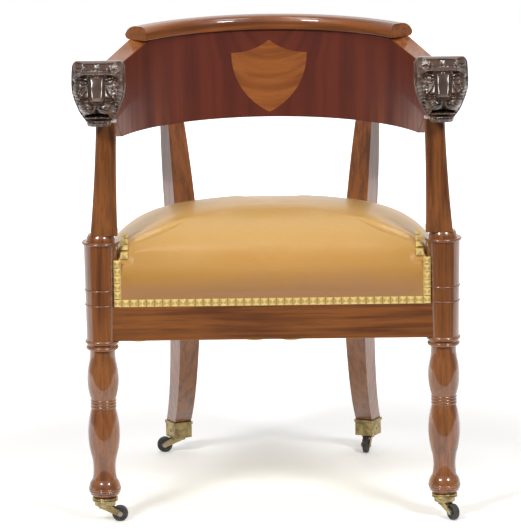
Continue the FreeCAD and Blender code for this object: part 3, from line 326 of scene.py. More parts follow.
@dataclass(frozen=True)
class WoodFinish:
    """Polished wood with streaks, fibres and pores along its grain."""

    name: str
    dark: Colour
    light: Colour
    warm: Colour
    streak: float = 26.0
    contrast: float = 1.0
    gloss: float = 0.7
    coat_roughness: float = 0.045
    roughness: float = 0.36
    # Fineness of each pattern, the limits between which it fades in, and its share of the colour.
    fibre: float = 420.0
    pore: float = 900.0
    cloud: float = 7.0
    streak_limits: Pair = (0.32, 0.62)
    cloud_limits: Pair = (0.35, 0.75)
    fibre_limits: Pair = (0.46, 0.66)
    pore_limits: Pair = (0.60, 0.74)
    cloud_share: float = 0.55
    fibre_share: float = 0.62
    pore_share: float = 0.5
    pore_shade: float = 0.45

    def grain_place(self, graph: Graph, grain: Grain) -> Socket:
        """Place on the wood with the grain along the third direction.

        Args:
            graph: Material being laid out.
            grain: Direction of the grain.

        Returns:
            Vector socket in metres.
        """
        x, y, z = graph.split(graph.place())
        if grain is Grain.UPRIGHT:
            return graph.join(x, y, z)
        if grain is Grain.ACROSS:
            return graph.join(y, z, x)
        if grain is Grain.LENGTHWISE:
            return graph.join(x, z, y)
        depth = graph.math("SUBTRACT", y, BACK_CENTRE_Y)
        bow = graph.times(graph.math("ARCTAN2", x, depth), BACK_RADIUS)
        return graph.join(graph.length(x, depth), z, bow)

    def material(self, grain: Grain) -> bpy.types.Material:
        """Lay out the material for one direction of grain.

        Args:
            grain: Direction of the grain.

        Returns:
            The material.
        """
        graph = Graph(f"{self.name}_{grain.name.lower()}")
        self.lay_out(graph, self.grain_place(graph, grain))
        return graph.material

    def lay_out(self, graph: Graph, place: Socket) -> None:
        """Colour, roughness and bump from the place along the grain.

        Args:
            graph: Material being laid out.
            place: Place with the grain along the third direction.
        """
        streaks = graph.noise(graph.scaled(place, STREAK_STRETCH), self.streak, 5.0, 0.3)
        fibres = graph.noise(graph.scaled(place, FIBRE_STRETCH), self.fibre, 3.0, 0.2)
        pores = graph.noise(graph.scaled(place, PORE_STRETCH), self.pore, 1.0)
        pores = graph.ramp(pores, *self.pore_limits)
        clouds = graph.ramp(graph.noise(place, self.cloud, 2.0), *self.cloud_limits)
        lines = graph.ramp(fibres, *self.fibre_limits)
        deep = tuple(self.pore_shade * part for part in self.dark)
        colour = graph.mix(graph.ramp(streaks, *self.streak_limits), self.dark, self.light)
        colour = graph.mix(graph.times(clouds, self.cloud_share), colour, self.warm)
        colour = graph.mix(graph.times(lines, self.fibre_share * self.contrast), colour, self.dark)
        colour = graph.mix(graph.times(pores, self.pore_share * self.contrast), colour, deep)
        height = graph.math("SUBTRACT", graph.times(fibres, 0.4), pores)
        graph.shade(
            Base_Color=colour,
            Roughness=graph.range(fibres, self.roughness - 0.05, self.roughness + 0.08),
            Normal=graph.bump(height, 0.06, 0.0004),
            Coat_Weight=self.gloss,
            Coat_Roughness=self.coat_roughness,
        )


@dataclass(frozen=True)
class FigureFinish(WoodFinish):
    """Shield veneer, whose figure hangs in curves from side to side."""

    hang: float = 5.0

    def material(self, grain: Grain) -> bpy.types.Material:
        """Lay out the material with its lines sagging in the middle.

        Args:
            grain: Asked of every finish; this one has none.

        Returns:
            The material.
        """
        graph = Graph(self.name)
        x, y, z = graph.split(graph.place())
        sag = graph.times(graph.math("POWER", x, 2.0), self.hang)
        self.lay_out(graph, graph.join(graph.math("SUBTRACT", z, sag), y, x))
        return graph.material


@dataclass(frozen=True)
class VeneerFinish(WoodFinish):
    """Book-matched leaves: ribbon stripes up the back, a feather over the shield and a painted orange
    reflection of the arms and seat low at the sides.
    """

    # Colour of the painted reflection of the arms and leather seat, streaked upright low at the sides.
    arm: Colour = (0.30, 0.085, 0.024)
    feather_foot: float = 0.665
    arm_z: float = 0.573
    # Limits from the seam and above the arms, in metres, and shares of the feather and of the painted orange
    # reflection.
    feather_limits: Pair = (0.02, 0.14)
    feather_lean: float = 0.8
    orange_rise: Pair = (0.005, 0.055)
    orange_limits: Pair = (0.06, 0.34)
    orange_shares: Pair = (0.2, 0.85)
    arm_reflection_streak: float = 70.0
    arm_reflection_stretch: float = 0.06
    arm_reflection_limits: Pair = (0.35, 0.65)

    def material(self, grain: Grain) -> bpy.types.Material:
        """Lay out the two leaves as mirror images about the seam, with the painted reflection of the arms
        and seat.

        Args:
            grain: Asked of every finish; this one has none.

        Returns:
            The material.
        """
        graph = Graph(self.name)
        x, y, z = graph.split(graph.place())
        depth = graph.math("SUBTRACT", y, BACK_CENTRE_Y)
        bow = graph.math("ABSOLUTE", graph.times(graph.math("ARCTAN2", x, depth), BACK_RADIUS))
        climb = graph.math("MAXIMUM", graph.math("SUBTRACT", z, self.feather_foot), 0.0)
        near_seam = graph.less(graph.ramp(bow, *self.feather_limits))
        fan = graph.times(graph.times(climb, near_seam), self.feather_lean)
        self.lay_out(graph, graph.join(graph.math("SUBTRACT", bow, fan), 0.0, z))
        plain = graph.shader.inputs["Base Color"].links[0].from_socket
        # Painted reflection: orange upright streaks low towards the arms stand for the arms and seat
        # mirrored in the gloss.
        low = graph.less(graph.ramp(z, *(self.arm_z + rise for rise in self.orange_rise)))
        toward_arm = graph.times(graph.ramp(bow, *self.orange_limits), graph.range(low, *self.orange_shares))
        upward = graph.join(bow, 0.0, graph.times(z, self.arm_reflection_stretch))
        rays = graph.ramp(graph.noise(upward, self.arm_reflection_streak, 3.0), *self.arm_reflection_limits)
        graph.shade(Base_Color=graph.mix(graph.times(toward_arm, rays), plain, self.arm))
        return graph.material


@dataclass(frozen=True)
class CarvedFinish(WoodFinish):
    """Dark carved wood, worn lighter where the carving stands out, with painted shade darkening its hollows.
    """

    # Near-black colour of the painted shade in the carving's hollows.
    hollow: Colour = (0.008, 0.003, 0.002)
    worn_limits: Pair = (0.55, 1.0)
    hollow_shade_limits: Pair = (0.5, 0.12)

    def material(self, grain: Grain) -> bpy.types.Material:
        """Lay out the wood with painted shade darkening the hollows by the carving's depth.

        Args:
            grain: Direction of the grain.

        Returns:
            The material.
        """
        graph = Graph(self.name)
        self.lay_out(graph, self.grain_place(graph, grain))
        plain = graph.shader.inputs["Base Color"].links[0].from_socket
        depth = graph.node("ShaderNodeAttribute", attribute_name="relief").outputs["Fac"]
        worn = graph.mix(graph.ramp(depth, *self.worn_limits), plain, self.warm)
        # Painted shade: where the carving sinks below its surroundings the colour goes towards near black.
        graph.shade(Base_Color=graph.mix(graph.ramp(depth, *self.hollow_shade_limits), worn, self.hollow))
        return graph.material


@dataclass(frozen=True)
class LeatherFinish:
    """Tan hide: mottled, darker below the crown, with pebbled grain and fine creases."""

    name: str
    tan: Colour
    orange: Colour
    edge: Colour
    edge_z: float = 0.372
    band_z: float = 0.415
    crown_z: float = 0.462
    mottle: float = 9.0
    drift: float = 0.05
    spot: float = 34.0
    spot_shares: Pair = (0.0, 0.3)
    pebble: float = 620.0
    crease: float = 75.0
    vein_width: float = 0.05
    # Share by which the colour is darkened towards the edge colour along the creases.
    crease_darkening: float = 0.16
    roughness: Pair = (0.28, 0.44)
    coat: float = 0.38
    coat_roughness: float = 0.2

    def material(self, grain: Grain) -> bpy.types.Material:
        """Lay out the hide.

        Args:
            grain: Asked of every finish; this one has none.

        Returns:
            The material.
        """
        graph = Graph(self.name)
        place = graph.place()
        x, y, z = graph.split(place)
        mottle = graph.noise(place, self.mottle, 5.0, 0.6)
        height = graph.math("ADD", z, graph.times(graph.math("SUBTRACT", mottle, 0.5), self.drift))
        colour = graph.mix(graph.ramp(height, self.edge_z, self.band_z), self.edge, self.orange)
        colour = graph.mix(graph.ramp(height, self.band_z, self.crown_z), colour, self.tan)
        spots = graph.range(graph.noise(place, self.spot, 4.0), *self.spot_shares)
        colour = graph.mix(spots, colour, self.orange)
        slant = graph.scaled(graph.join(graph.math("ADD", x, y), z, y), (0.5, 1.0, 1.0))
        creases = graph.noise(slant, self.crease, 3.0, 1.4)
        crest = graph.math("ABSOLUTE", graph.math("SUBTRACT", creases, 0.5))
        veins = graph.ramp(crest, 0.0, self.vein_width)
        # The creases are darkened in colour towards the edge colour.
        colour = graph.mix(graph.times(graph.less(veins), self.crease_darkening), colour, self.edge)
        pebbles = graph.cells(place, self.pebble)
        relief = graph.math("ADD", graph.times(pebbles, 0.5), graph.times(veins, 0.35))
        graph.shade(
            Base_Color=colour,
            Roughness=graph.range(mottle, *self.roughness),
            Normal=graph.bump(relief, 0.34, 0.0006),
            Coat_Weight=self.coat,
            Coat_Roughness=self.coat_roughness,
        )
        return graph.material


@dataclass(frozen=True)
class MetalFinish:
    """Cast or drawn metal with tarnish in clouds and fine scratches."""

    name: str
    bright: Colour
    dull: Colour
    roughness: float = 0.3
    tarnish: float = 0.5
    metallic: float = 1.0
    cloud: float = 95.0
    scratch: float = 1500.0
    tarnish_limits: Pair = (0.38, 0.72)

    def material(self, grain: Grain) -> bpy.types.Material:
        """Lay out the metal.

        Args:
            grain: Asked of every finish; this one has none.

        Returns:
            The material.
        """
        graph = Graph(self.name)
        place = graph.place()
        clouds = graph.noise(place, self.cloud, 4.0, 0.4)
        scratches = graph.noise(graph.scaled(place, (1.0, 1.0, 0.1)), self.scratch, 2.0)
        tarnished = graph.times(graph.ramp(clouds, *self.tarnish_limits), self.tarnish)
        graph.shade(
            Base_Color=graph.mix(tarnished, self.bright, self.dull),
            Metallic=self.metallic,
            Roughness=graph.range(clouds, self.roughness - 0.08, self.roughness + 0.16),
            Normal=graph.bump(scratches, 0.08, 0.0002),
        )
        return graph.material


@dataclass(frozen=True)
class WeaveFinish:
    """Plain woven cloth with slubs in its yarn."""

    name: str
    yarn: Colour
    shadow: Colour
    pitch: float = 0.0014
    slub: float = 160.0
    slub_shades: Pair = (0.3, 0.8)
    roughness: Pair = (0.8, 0.95)

    def material(self, grain: Grain) -> bpy.types.Material:
        """Lay out the weave from two crossing waves.

        Args:
            grain: Asked of every finish; this one has none.

        Returns:
            The material.
        """
        graph = Graph(self.name)
        place = graph.place()
        x, y, _ = graph.split(place)
        turn = math.tau / self.pitch
        warp = graph.math("SINE", graph.times(x, turn))
        weft = graph.math("SINE", graph.times(y, turn))
        weave = graph.math("ADD", graph.times(graph.times(warp, weft), 0.5), 0.5)
        slubs = graph.noise(graph.scaled(place, (1.0, 0.08, 1.0)), self.slub, 3.0)
        shade = graph.times(graph.less(weave), graph.range(slubs, *self.slub_shades))
        graph.shade(
            Base_Color=graph.mix(shade, self.yarn, self.shadow),
            Roughness=graph.range(slubs, *self.roughness),
            Normal=graph.bump(weave, 0.4, 0.0004),
            Sheen_Weight=0.2,
        )
        return graph.material


@dataclass(frozen=True)
class MatteFinish:
    """Dull composition or felted hair, scuffed in patches."""

    name: str
    body: Colour
    scuff: Colour
    scuff_scale: float = 320.0
    scuff_limits: Pair = (0.45, 0.75)
    scuff_share: float = 0.6
    roughness: Pair = (0.42, 0.66)

    def material(self, grain: Grain) -> bpy.types.Material:
        """Lay out the scuffs.

        Args:
            grain: Asked of every finish; this one has none.

        Returns:
            The material.
        """
        graph = Graph(self.name)
        scuffs = graph.noise(graph.place(), self.scuff_scale, 4.0, 0.5)
        scuffed = graph.times(graph.ramp(scuffs, *self.scuff_limits), self.scuff_share)
        graph.shade(
            Base_Color=graph.mix(scuffed, self.body, self.scuff),
            Roughness=graph.range(scuffs, *self.roughness),
            Normal=graph.bump(scuffs, 0.2, 0.0003),
        )
        return graph.material


MAHOGANY = WoodFinish(
    "mahogany",
    dark=(0.110, 0.031, 0.0085),
    light=(0.285, 0.091, 0.021),
    warm=(0.365, 0.130, 0.032),
    streak=110.0,
    contrast=0.55,
    gloss=1.0,
)
BACK_MAHOGANY = WoodFinish(
    "back_mahogany",
    dark=(0.15, 0.040, 0.010),
    light=(0.32, 0.102, 0.024),
    warm=(0.39, 0.138, 0.034),
    streak=90.0,
    contrast=0.5,
    gloss=1.0,
    coat_roughness=0.03,
)
VENEER = VeneerFinish(
    "veneer",
    dark=(0.088, 0.0140, 0.008),
    light=(0.145, 0.0245, 0.012),
    warm=(0.170, 0.030, 0.014),
    streak=42.0,
    contrast=0.4,
    gloss=0.22,
    roughness=0.42,
)
SHIELD = FigureFinish(
    "shield",
    dark=(0.22, 0.060, 0.013),
    light=(0.37, 0.118, 0.026),
    warm=(0.43, 0.145, 0.032),
    streak=70.0,
    contrast=0.5,
)
CARVED = CarvedFinish(
    "carved_mahogany",
    dark=(0.030, 0.013, 0.007),
    light=(0.082, 0.037, 0.019),
    warm=(0.21, 0.10, 0.055),
    gloss=1.0,
    coat_roughness=0.04,
)
BEECH = WoodFinish(
    "beech", (0.36, 0.21, 0.10), (0.50, 0.33, 0.18), (0.46, 0.28, 0.14), gloss=0.0, roughness=0.7
)
LEATHER = LeatherFinish("leather", (0.58, 0.340, 0.090), (0.55, 0.275, 0.054), (0.49, 0.250, 0.112))
HAIR = MatteFinish("horsehair", (0.05, 0.035, 0.02), (0.14, 0.10, 0.06))
JUTE = WeaveFinish("jute", (0.42, 0.29, 0.14), (0.14, 0.085, 0.035), pitch=0.0032)
CLOTH = WeaveFinish("cloth", (0.90, 0.74, 0.32), (0.62, 0.46, 0.15))
NAIL_BRASS = MetalFinish(
    "nail_brass", (0.92, 0.68, 0.24), (0.58, 0.37, 0.09), roughness=0.30, tarnish=0.3, metallic=0.45
)
BRASS = MetalFinish("brass", (0.47, 0.37, 0.18), (0.15, 0.11, 0.05), roughness=0.34, tarnish=0.8)
STEEL = MetalFinish("steel", (0.42, 0.40, 0.38), (0.22, 0.18, 0.15), roughness=0.36)
WHEEL = MatteFinish("wheel", (0.035, 0.034, 0.033), (0.13, 0.12, 0.11))

FINISHES = {
    finish.name: finish
    for finish in (
        MAHOGANY, BACK_MAHOGANY, VENEER, SHIELD, CARVED, BEECH, LEATHER, HAIR, JUTE, CLOTH,
        NAIL_BRASS, BRASS, STEEL, WHEEL,
    )
}

# Direction of the grain in the nodes whose wood doesn't stand upright.
GRAIN_OF = {
    "front_rail": Grain.ACROSS,
    "rear_rail": Grain.ACROSS,
    "side_rail_left": Grain.LENGTHWISE,
    "side_rail_right": Grain.LENGTHWISE,
    "crest_rail": Grain.ROUND,
    "back_panel": Grain.ROUND,
    "arm_left": Grain.LENGTHWISE,
    "arm_right": Grain.LENGTHWISE,
}


class Wardrobe:
    """Keeps one material for each finish and grain, and dresses pieces with them."""

    def __init__(self) -> None:
        """Start with no materials."""
        self.made: dict[tuple[str, Grain], bpy.types.Material] = {}

    def material(self, slot: str, grain: Grain = Grain.UPRIGHT) -> bpy.types.Material:
        """Material of a record's slot, made the first time that it is asked for.

        Args:
            slot: Slot that the record names.
            grain: Direction of the grain.

        Returns:
            The material.
        """
        key = (slot, grain)
        if key not in self.made:
            self.made[key] = FINISHES[slot].material(grain)
        return self.made[key]

    def dress(self, piece: bpy.types.Object, slot: str, grain: Grain = Grain.UPRIGHT) -> None:
        """Give a piece the material of a slot alone.

        Args:
            piece: Piece to dress.
            slot: Slot that the record names.
            grain: Direction of the grain.
        """
        piece.data.materials.clear()
        piece.data.materials.append(self.material(slot, grain))
        log.info("%s wears %s", piece.name, slot)

    def dress_frame(self) -> None:
        """Dress every node that was carried over from the construction model."""
        for subpart in frame["record"]["subparts"]:
            name = subpart["node"]
            self.dress(frame["nodes"][name], subpart["material_slot"], GRAIN_OF.get(name, Grain.UPRIGHT))


# Modelling helpers


def only(piece: bpy.types.Object) -> None:
    """Make one object the selected and active one.

    Args:
        piece: Object to select.
    """
    bpy.ops.object.select_all(action="DESELECT")
    piece.select_set(True)
    bpy.context.view_layer.objects.active = piece


def mesh_piece(name: str, points: np.ndarray, faces: list[tuple[int, ...]]) -> bpy.types.Object:
    """New piece from points in metres and faces.

    Args:
        name: Name of the piece.
        points: Points, in metres.
        faces: Faces, as numbers of points.

    Returns:
        The piece.
    """
    mesh = bpy.data.meshes.new(name)
    mesh.from_pydata(points.tolist(), [], faces)
    mesh.update()
    piece = bpy.data.objects.new(name, mesh)
    bpy.context.scene.collection.objects.link(piece)
    return piece


def points_of(piece: bpy.types.Object) -> np.ndarray:
    """Points of a piece's mesh as an array.

    Args:
        piece: Piece to read.

    Returns:
        A row for each point.
    """
    points = np.empty(len(piece.data.vertices) * 3)
    piece.data.vertices.foreach_get("co", points)
    return points.reshape(-1, 3)


def normals_of(piece: bpy.types.Object) -> np.ndarray:
    """Normals at a piece's points as an array.

    Args:
        piece: Piece to read.

    Returns:
        A row for each point.
    """
    normals = np.empty(len(piece.data.vertices) * 3)
    piece.data.vertex_normals.foreach_get("vector", normals)
    return normals.reshape(-1, 3)


def move_points(piece: bpy.types.Object, points: np.ndarray) -> None:
    """Set the points of a piece's mesh."""
    piece.data.vertices.foreach_set("co", points.ravel())
    piece.data.update()


def edit(piece: bpy.types.Object, *steps: tuple[str, dict]) -> None:
    """Run mesh operators by name on the whole of a piece.

    Args:
        piece: Piece to edit.
        steps: Names of operators, with their settings.
    """
    only(piece)
    bpy.ops.object.mode_set(mode="EDIT")
    bpy.ops.mesh.select_all(action="SELECT")
    for name, settings in steps:
        getattr(bpy.ops.mesh, name)(**settings)
    bpy.ops.object.mode_set(mode="OBJECT")


def apply_modifier(piece: bpy.types.Object, kind: str, **settings: object) -> None:
    """Add a modifier to a piece and apply it.

    Args:
        piece: Piece to change.
        kind: Blender's name for the modifier's type.
        settings: Properties set on the modifier.
    """
    modifier = piece.modifiers.new(kind.lower(), kind)
    for key, value in settings.items():
        setattr(modifier, key, value)
    only(piece)
    bpy.ops.object.modifier_apply(modifier=modifier.name)


def remesh(piece: bpy.types.Object, voxel: float) -> None:
    """Rebuild a closed piece with an even mesh.

    Args:
        piece: Piece to rebuild.
        voxel: Size of the new mesh's cells, in metres.
    """
    only(piece)
    piece.data.remesh_voxel_size = voxel
    bpy.ops.object.voxel_remesh()


def smooth_look(piece: bpy.types.Object) -> None:
    """Shade a piece smoothly."""
    only(piece)
    bpy.ops.object.shade_smooth()


def step(value: np.ndarray, low: float, high: float) -> np.ndarray:
    """Smooth step from 0 to 1."""
    share = np.clip((value - low) / (high - low), 0.0, 1.0)
    return share * share * (3.0 - 2.0 * share)


def mound(u: np.ndarray, w: np.ndarray, at: Pair, size: Pair) -> np.ndarray:
    """Round hump of height 1."""
    return np.exp(-(((u - at[0]) / size[0]) ** 2) - ((w - at[1]) / size[1]) ** 2)


def along(
    u: np.ndarray, w: np.ndarray, start: Pair, end: Pair
) -> tuple[np.ndarray, np.ndarray]:
    """Distance of points along a stretch, and from it.

    Args:
        u: Distances across.
        w: Rises.
        start: Start of the stretch.
        end: End of the stretch.

    Returns:
        Distances along the stretch, and distances from it.
    """
    run = np.array(end) - np.array(start)
    length = math.hypot(*run)
    reach = ((u - start[0]) * run[0] + (w - start[1]) * run[1]) / length
    held = np.clip(reach, 0.0, length)
    gap = np.hypot(u - start[0] - held * run[0] / length, w - start[1] - held * run[1] / length)
    return reach, gap


def ridge(
    u: np.ndarray, w: np.ndarray, start: Pair, end: Pair, width: float
) -> np.ndarray:
    """Long hump of height 1 between two points."""
    return np.exp(-((along(u, w, start, end)[1] / width) ** 2))


# Carved heads


@dataclass(frozen=True)
class Bump:
    """Round hump of the carving, or a hollow where its height is below zero, in millimetres."""

    height: float
    at: Pair
    size: Pair

    def over(self, u: np.ndarray, w: np.ndarray) -> np.ndarray:
        """Height of the form at points of the face."""
        return self.height * mound(u, w, self.at, self.size)


@dataclass(frozen=True)
class Roll:
    """Long hump of the carving, or a groove where its height is below zero, in millimetres."""

    height: float
    start: Pair
    end: Pair
    width: float

    def over(self, u: np.ndarray, w: np.ndarray) -> np.ndarray:
        """Height of the form at points of the face."""
        return self.height * ridge(u, w, self.start, self.end, self.width)


# Forms of half a face, placed by the distance from its middle and the rise above the chin.
BROW_FORMS = {
    "cleft of the forehead": Bump(-2.0, (0.0, 96.0), (2.6, 6.0)),
    "frown": Bump(3.6, (4.8, 84.5), (3.4, 3.2)),
    "cleft of the frown": Bump(-2.4, (0.0, 84.0), (1.4, 4.0)),
    "brow": Roll(4.6, (11.0, 86.0), (24.0, 84.5), 4.4),
    "fall of the brow": Roll(4.0, (24.0, 84.5), (35.0, 76.5), 3.8),
    "groove over the brow": Roll(-2.2, (9.0, 91.5), (20.0, 92.5), 2.2),
    "ear": Roll(4.0, (22.0, 95.5), (34.0, 91.5), 3.6),
    "hollow of the ear": Roll(-4.0, (25.0, 94.8), (32.0, 92.4), 1.5),
}
EYE_FORMS = {
    "socket": Bump(-11.0, (23.5, 71.0), (9.5, 7.4)),
    "eyeball": Bump(10.0, (24.5, 69.5), (6.0, 5.2)),
    "inner upper lid": Roll(2.4, (16.0, 74.0), (25.0, 76.5), 1.6),
    "outer upper lid": Roll(2.4, (25.0, 76.5), (33.0, 72.5), 1.6),
    "inner lower lid": Roll(2.2, (16.5, 66.0), (25.0, 62.5), 1.6),
    "outer lower lid": Roll(2.2, (25.0, 62.5), (33.0, 66.0), 1.6),
    "pupil": Bump(-2.6, (23.5, 69.5), (1.6, 1.6)),
    "side of the nose": Roll(-1.2, (14.0, 64.0), (15.0, 46.0), 2.4),
    "fold under the eye": Roll(2.4, (17.0, 60.0), (27.0, 46.0), 2.0),
    "cheek": Bump(6.0, (31.0, 55.0), (7.0, 9.0)),
    "groove over the whiskers": Roll(-2.4, (13.0, 45.5), (27.0, 43.5), 1.9),
}
NOSTRIL = Bump(-6.5, (5.4, 39.0), (2.1, 1.6))
CLEFT_OF_LIP = Bump(-4.6, (0.0, 26.0), (1.5, 4.6))
LOWER_LIP = Bump(3.2, (0.0, 15.6), (11.0, 2.0))


@dataclass
class LionHead:
    """Carved lion's head at the end of an arm, its face cut from the block in millimetres."""

    side: Side
    voxel: float = 0.0010
    outward_turn: float = 2.2
    setback: float = 3.0
    top_drop: float = 0.5
    forehead_drop: float = 12.0
    crown_back: float = 38.0
    crown_front: float = 24.0
    crown_rear: float = 40.0
    lock_pitch: float = 8.5
    lock_depth: float = 1.5
    lock_sway: float = 2.5
    lock_wave: float = 9.0
    level_rounds: int = 24
    proud_share: float = 0.30
    # Limits of the normals that face forward and up, and of the rises at which mane and dome fade in.
    forward: Pair = (0.10, 0.55)
    upward: Pair = (0.2, 0.5)
    mane_rise: Pair = (4.0, 16.0)
    drop_rise: Pair = (60.0, 100.0)
    dome_rise: Pair = (82.0, 100.0)

    def build(self, wardrobe: Wardrobe) -> bpy.types.Object:
        """Model the head on its block.

        Args:
            wardrobe: Materials to dress it from.

        Returns:
            The finished piece.
        """
        node = f"lion_head_{self.side.word}"
        block = frame["nodes"][node]
        piece = bpy.data.objects.new(f"carved_head_{self.side.word}", block.data.copy())
        bpy.context.scene.collection.objects.link(piece)
        edit(piece, ("remove_doubles", {"threshold": 0.00001}))
        remesh(piece, self.voxel)
        edit(piece, ("vertices_smooth", {"factor": 0.5, "repeat": 40}))
        self.carve(piece, *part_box(node))
        remesh(piece, self.voxel * 0.9)
        edit(piece, ("vertices_smooth", {"factor": 0.5, "repeat": 1}))
        self.mark_relief(piece)
        smooth_look(piece)
        wardrobe.dress(piece, "carved_mahogany")
        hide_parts(node)
        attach(piece, "chair")
        return piece

    def carve(self, piece: bpy.types.Object, low: Vector, high: Vector) -> None:
        """Cut the face into the front of the block and locks of mane into its sides.

        Args:
            piece: Head to carve.
            low: Lowest corner of the block.
            high: Highest corner of the block.
        """
        points = points_of(piece)
        normals = normals_of(piece)
        middle = (low.x + high.x) / 2
        inward = -self.side.value * (points[:, 0] - middle) / MILLIMETRE
        rise = (points[:, 2] - low.z) / MILLIMETRE
        back = (points[:, 1] - low.y) / MILLIMETRE
        away = np.abs(inward + self.outward_turn)
        front = step(-normals[:, 1], *self.forward)
        cut = front * (self.face(away, rise) - self.setback)
        sway = self.lock_sway * np.sin(rise / self.lock_wave)
        locks = np.sin(math.tau * (back + sway) / self.lock_pitch)
        beside = (1.0 - front) * (1.0 - step(normals[:, 2], *self.upward))
        mane = beside * step(rise, *self.mane_rise) * self.lock_depth * locks
        points[:, 1] -= cut * MILLIMETRE
        points += normals * (mane * MILLIMETRE)[:, None]
        slope = np.clip((self.crown_back - back) / self.crown_front, 0.0, 1.0) ** 2
        slope += np.clip((back - self.crown_back) / self.crown_rear, 0.0, 1.0) ** 1.5
        drop = self.top_drop * step(rise, *self.drop_rise)
        drop += self.forehead_drop * slope * step(rise, *self.dome_rise)
        points[:, 2] -= drop * MILLIMETRE
        move_points(piece, points)

    def face(self, u: np.ndarray, w: np.ndarray) -> np.ndarray:
        """Height of the face over the block, from the distance to its middle and the rise above the chin.

        Args:
            u: Distances from the middle of the face, in millimetres.
            w: Rises above the chin, in millimetres.

        Returns:
            Heights over the block, in millimetres.
        """
        brow = sum(form.over(u, w) for form in BROW_FORMS.values())
        eyes = sum(form.over(u, w) for form in EYE_FORMS.values())
        return brow + eyes + self.muzzle(u, w) + self.jaw(u, w)

    def muzzle(self, u: np.ndarray, w: np.ndarray) -> np.ndarray:
        """Broad plank of the nose, its three-cornered pad with nostrils, and the wide whisker pads.

        Args:
            u: Distances from the middle of the face, in millimetres.
            w: Rises above the chin, in millimetres.

        Returns:
            Heights over the block, in millimetres.
        """
        half = 8.8 + (w - 48.0) * 0.10
        plank = step(half - u, -5.0, 3.0) * step(w, 43.0, 49.0) * (1.0 - step(w, 64.0, 92.0))
        corner = 2.6 + (w - 31.0) * 0.60
        pad = step(corner - u, -1.0, 1.6) * step(w, 29.0, 34.0) * (1.0 - step(w, 45.5, 48.5))
        height = 4.6 * plank + 11.5 * pad
        height += NOSTRIL.over(u, w)
        spread = np.hypot((u - 14.5) / 14.0, (w - 31.0) / 9.5)
        height += 9.0 * np.sqrt(np.clip(1.0 - spread**2, 0.0, 1.0))
        height -= 3.6 * np.exp(-(((spread - 1.17) / 0.13) ** 2)) * step(w, 22.0, 28.0) * step(u, 9.0, 13.0)
        height += 0.9 * np.sin(math.tau * (w + 0.30 * u) / 3.6) * mound(u, w, (17.0, 32.0), (9.0, 6.5))
        return height + CLEFT_OF_LIP.over(u, w)

    def jaw(self, u: np.ndarray, w: np.ndarray) -> np.ndarray:
        """Wide toothed mouth, lower lip, the bar of the chin and the crinkled fur down the jaw.

        Args:
            u: Distances from the middle of the face, in millimetres.
            w: Rises above the chin, in millimetres.

        Returns:
            Heights over the block, in millimetres.
        """
        slit = 20.5 - 0.009 * u * u + 0.7 * np.sin(math.tau * u / 5.0)
        height = -10.0 * np.exp(-(((w - slit) / 1.7) ** 2)) * (1.0 - step(u, 16.0, 20.0))
        height += LOWER_LIP.over(u, w)
        height -= 4.0 * np.exp(-(((w - 11.8) / 1.3) ** 2)) * (1.0 - step(u, 19.0, 23.0))
        height += 3.0 * np.exp(-(((w - 6.0) / 4.2) ** 2)) * (1.0 - step(u, 15.0, 20.0))
        height += 0.5 * np.sin(math.tau * u / 6.5) * (1.0 - step(w, 9.0, 12.0))
        reach, gap = along(u, w, (38.0, 58.0), (23.0, 10.0))
        height += 2.4 * np.sin(math.tau * reach / 5.6) * np.exp(-((gap / 4.4) ** 2))
        return height

    def mark_relief(self, piece: bpy.types.Object) -> None:
        """Keep how far each point stands out from its surroundings, for the lighter worn finish on the
        raised parts and the painted shade in the hollows.

        Args:
            piece: Carved head.
        """
        points = points_of(piece)
        edges = np.empty(len(piece.data.edges) * 2, dtype=np.int32)
        piece.data.edges.foreach_get("vertices", edges)
        ends, others = np.concatenate([edges.reshape(-1, 2), edges.reshape(-1, 2)[:, ::-1]]).T
        count = np.bincount(ends)
        level = points.copy()
        for _ in range(self.level_rounds):
            sums = [np.bincount(ends, level[others, axis]) for axis in range(3)]
            level = 0.5 * level + 0.5 * np.column_stack(sums) / count[:, None]
        proud = np.einsum("ij,ij->i", points - level, normals_of(piece)) / MILLIMETRE
        relief = piece.data.attributes.new("relief", "FLOAT", "POINT")
        relief.data.foreach_set("value", np.clip(0.5 + self.proud_share * proud, 0.0, 1.0))


# Upholstery


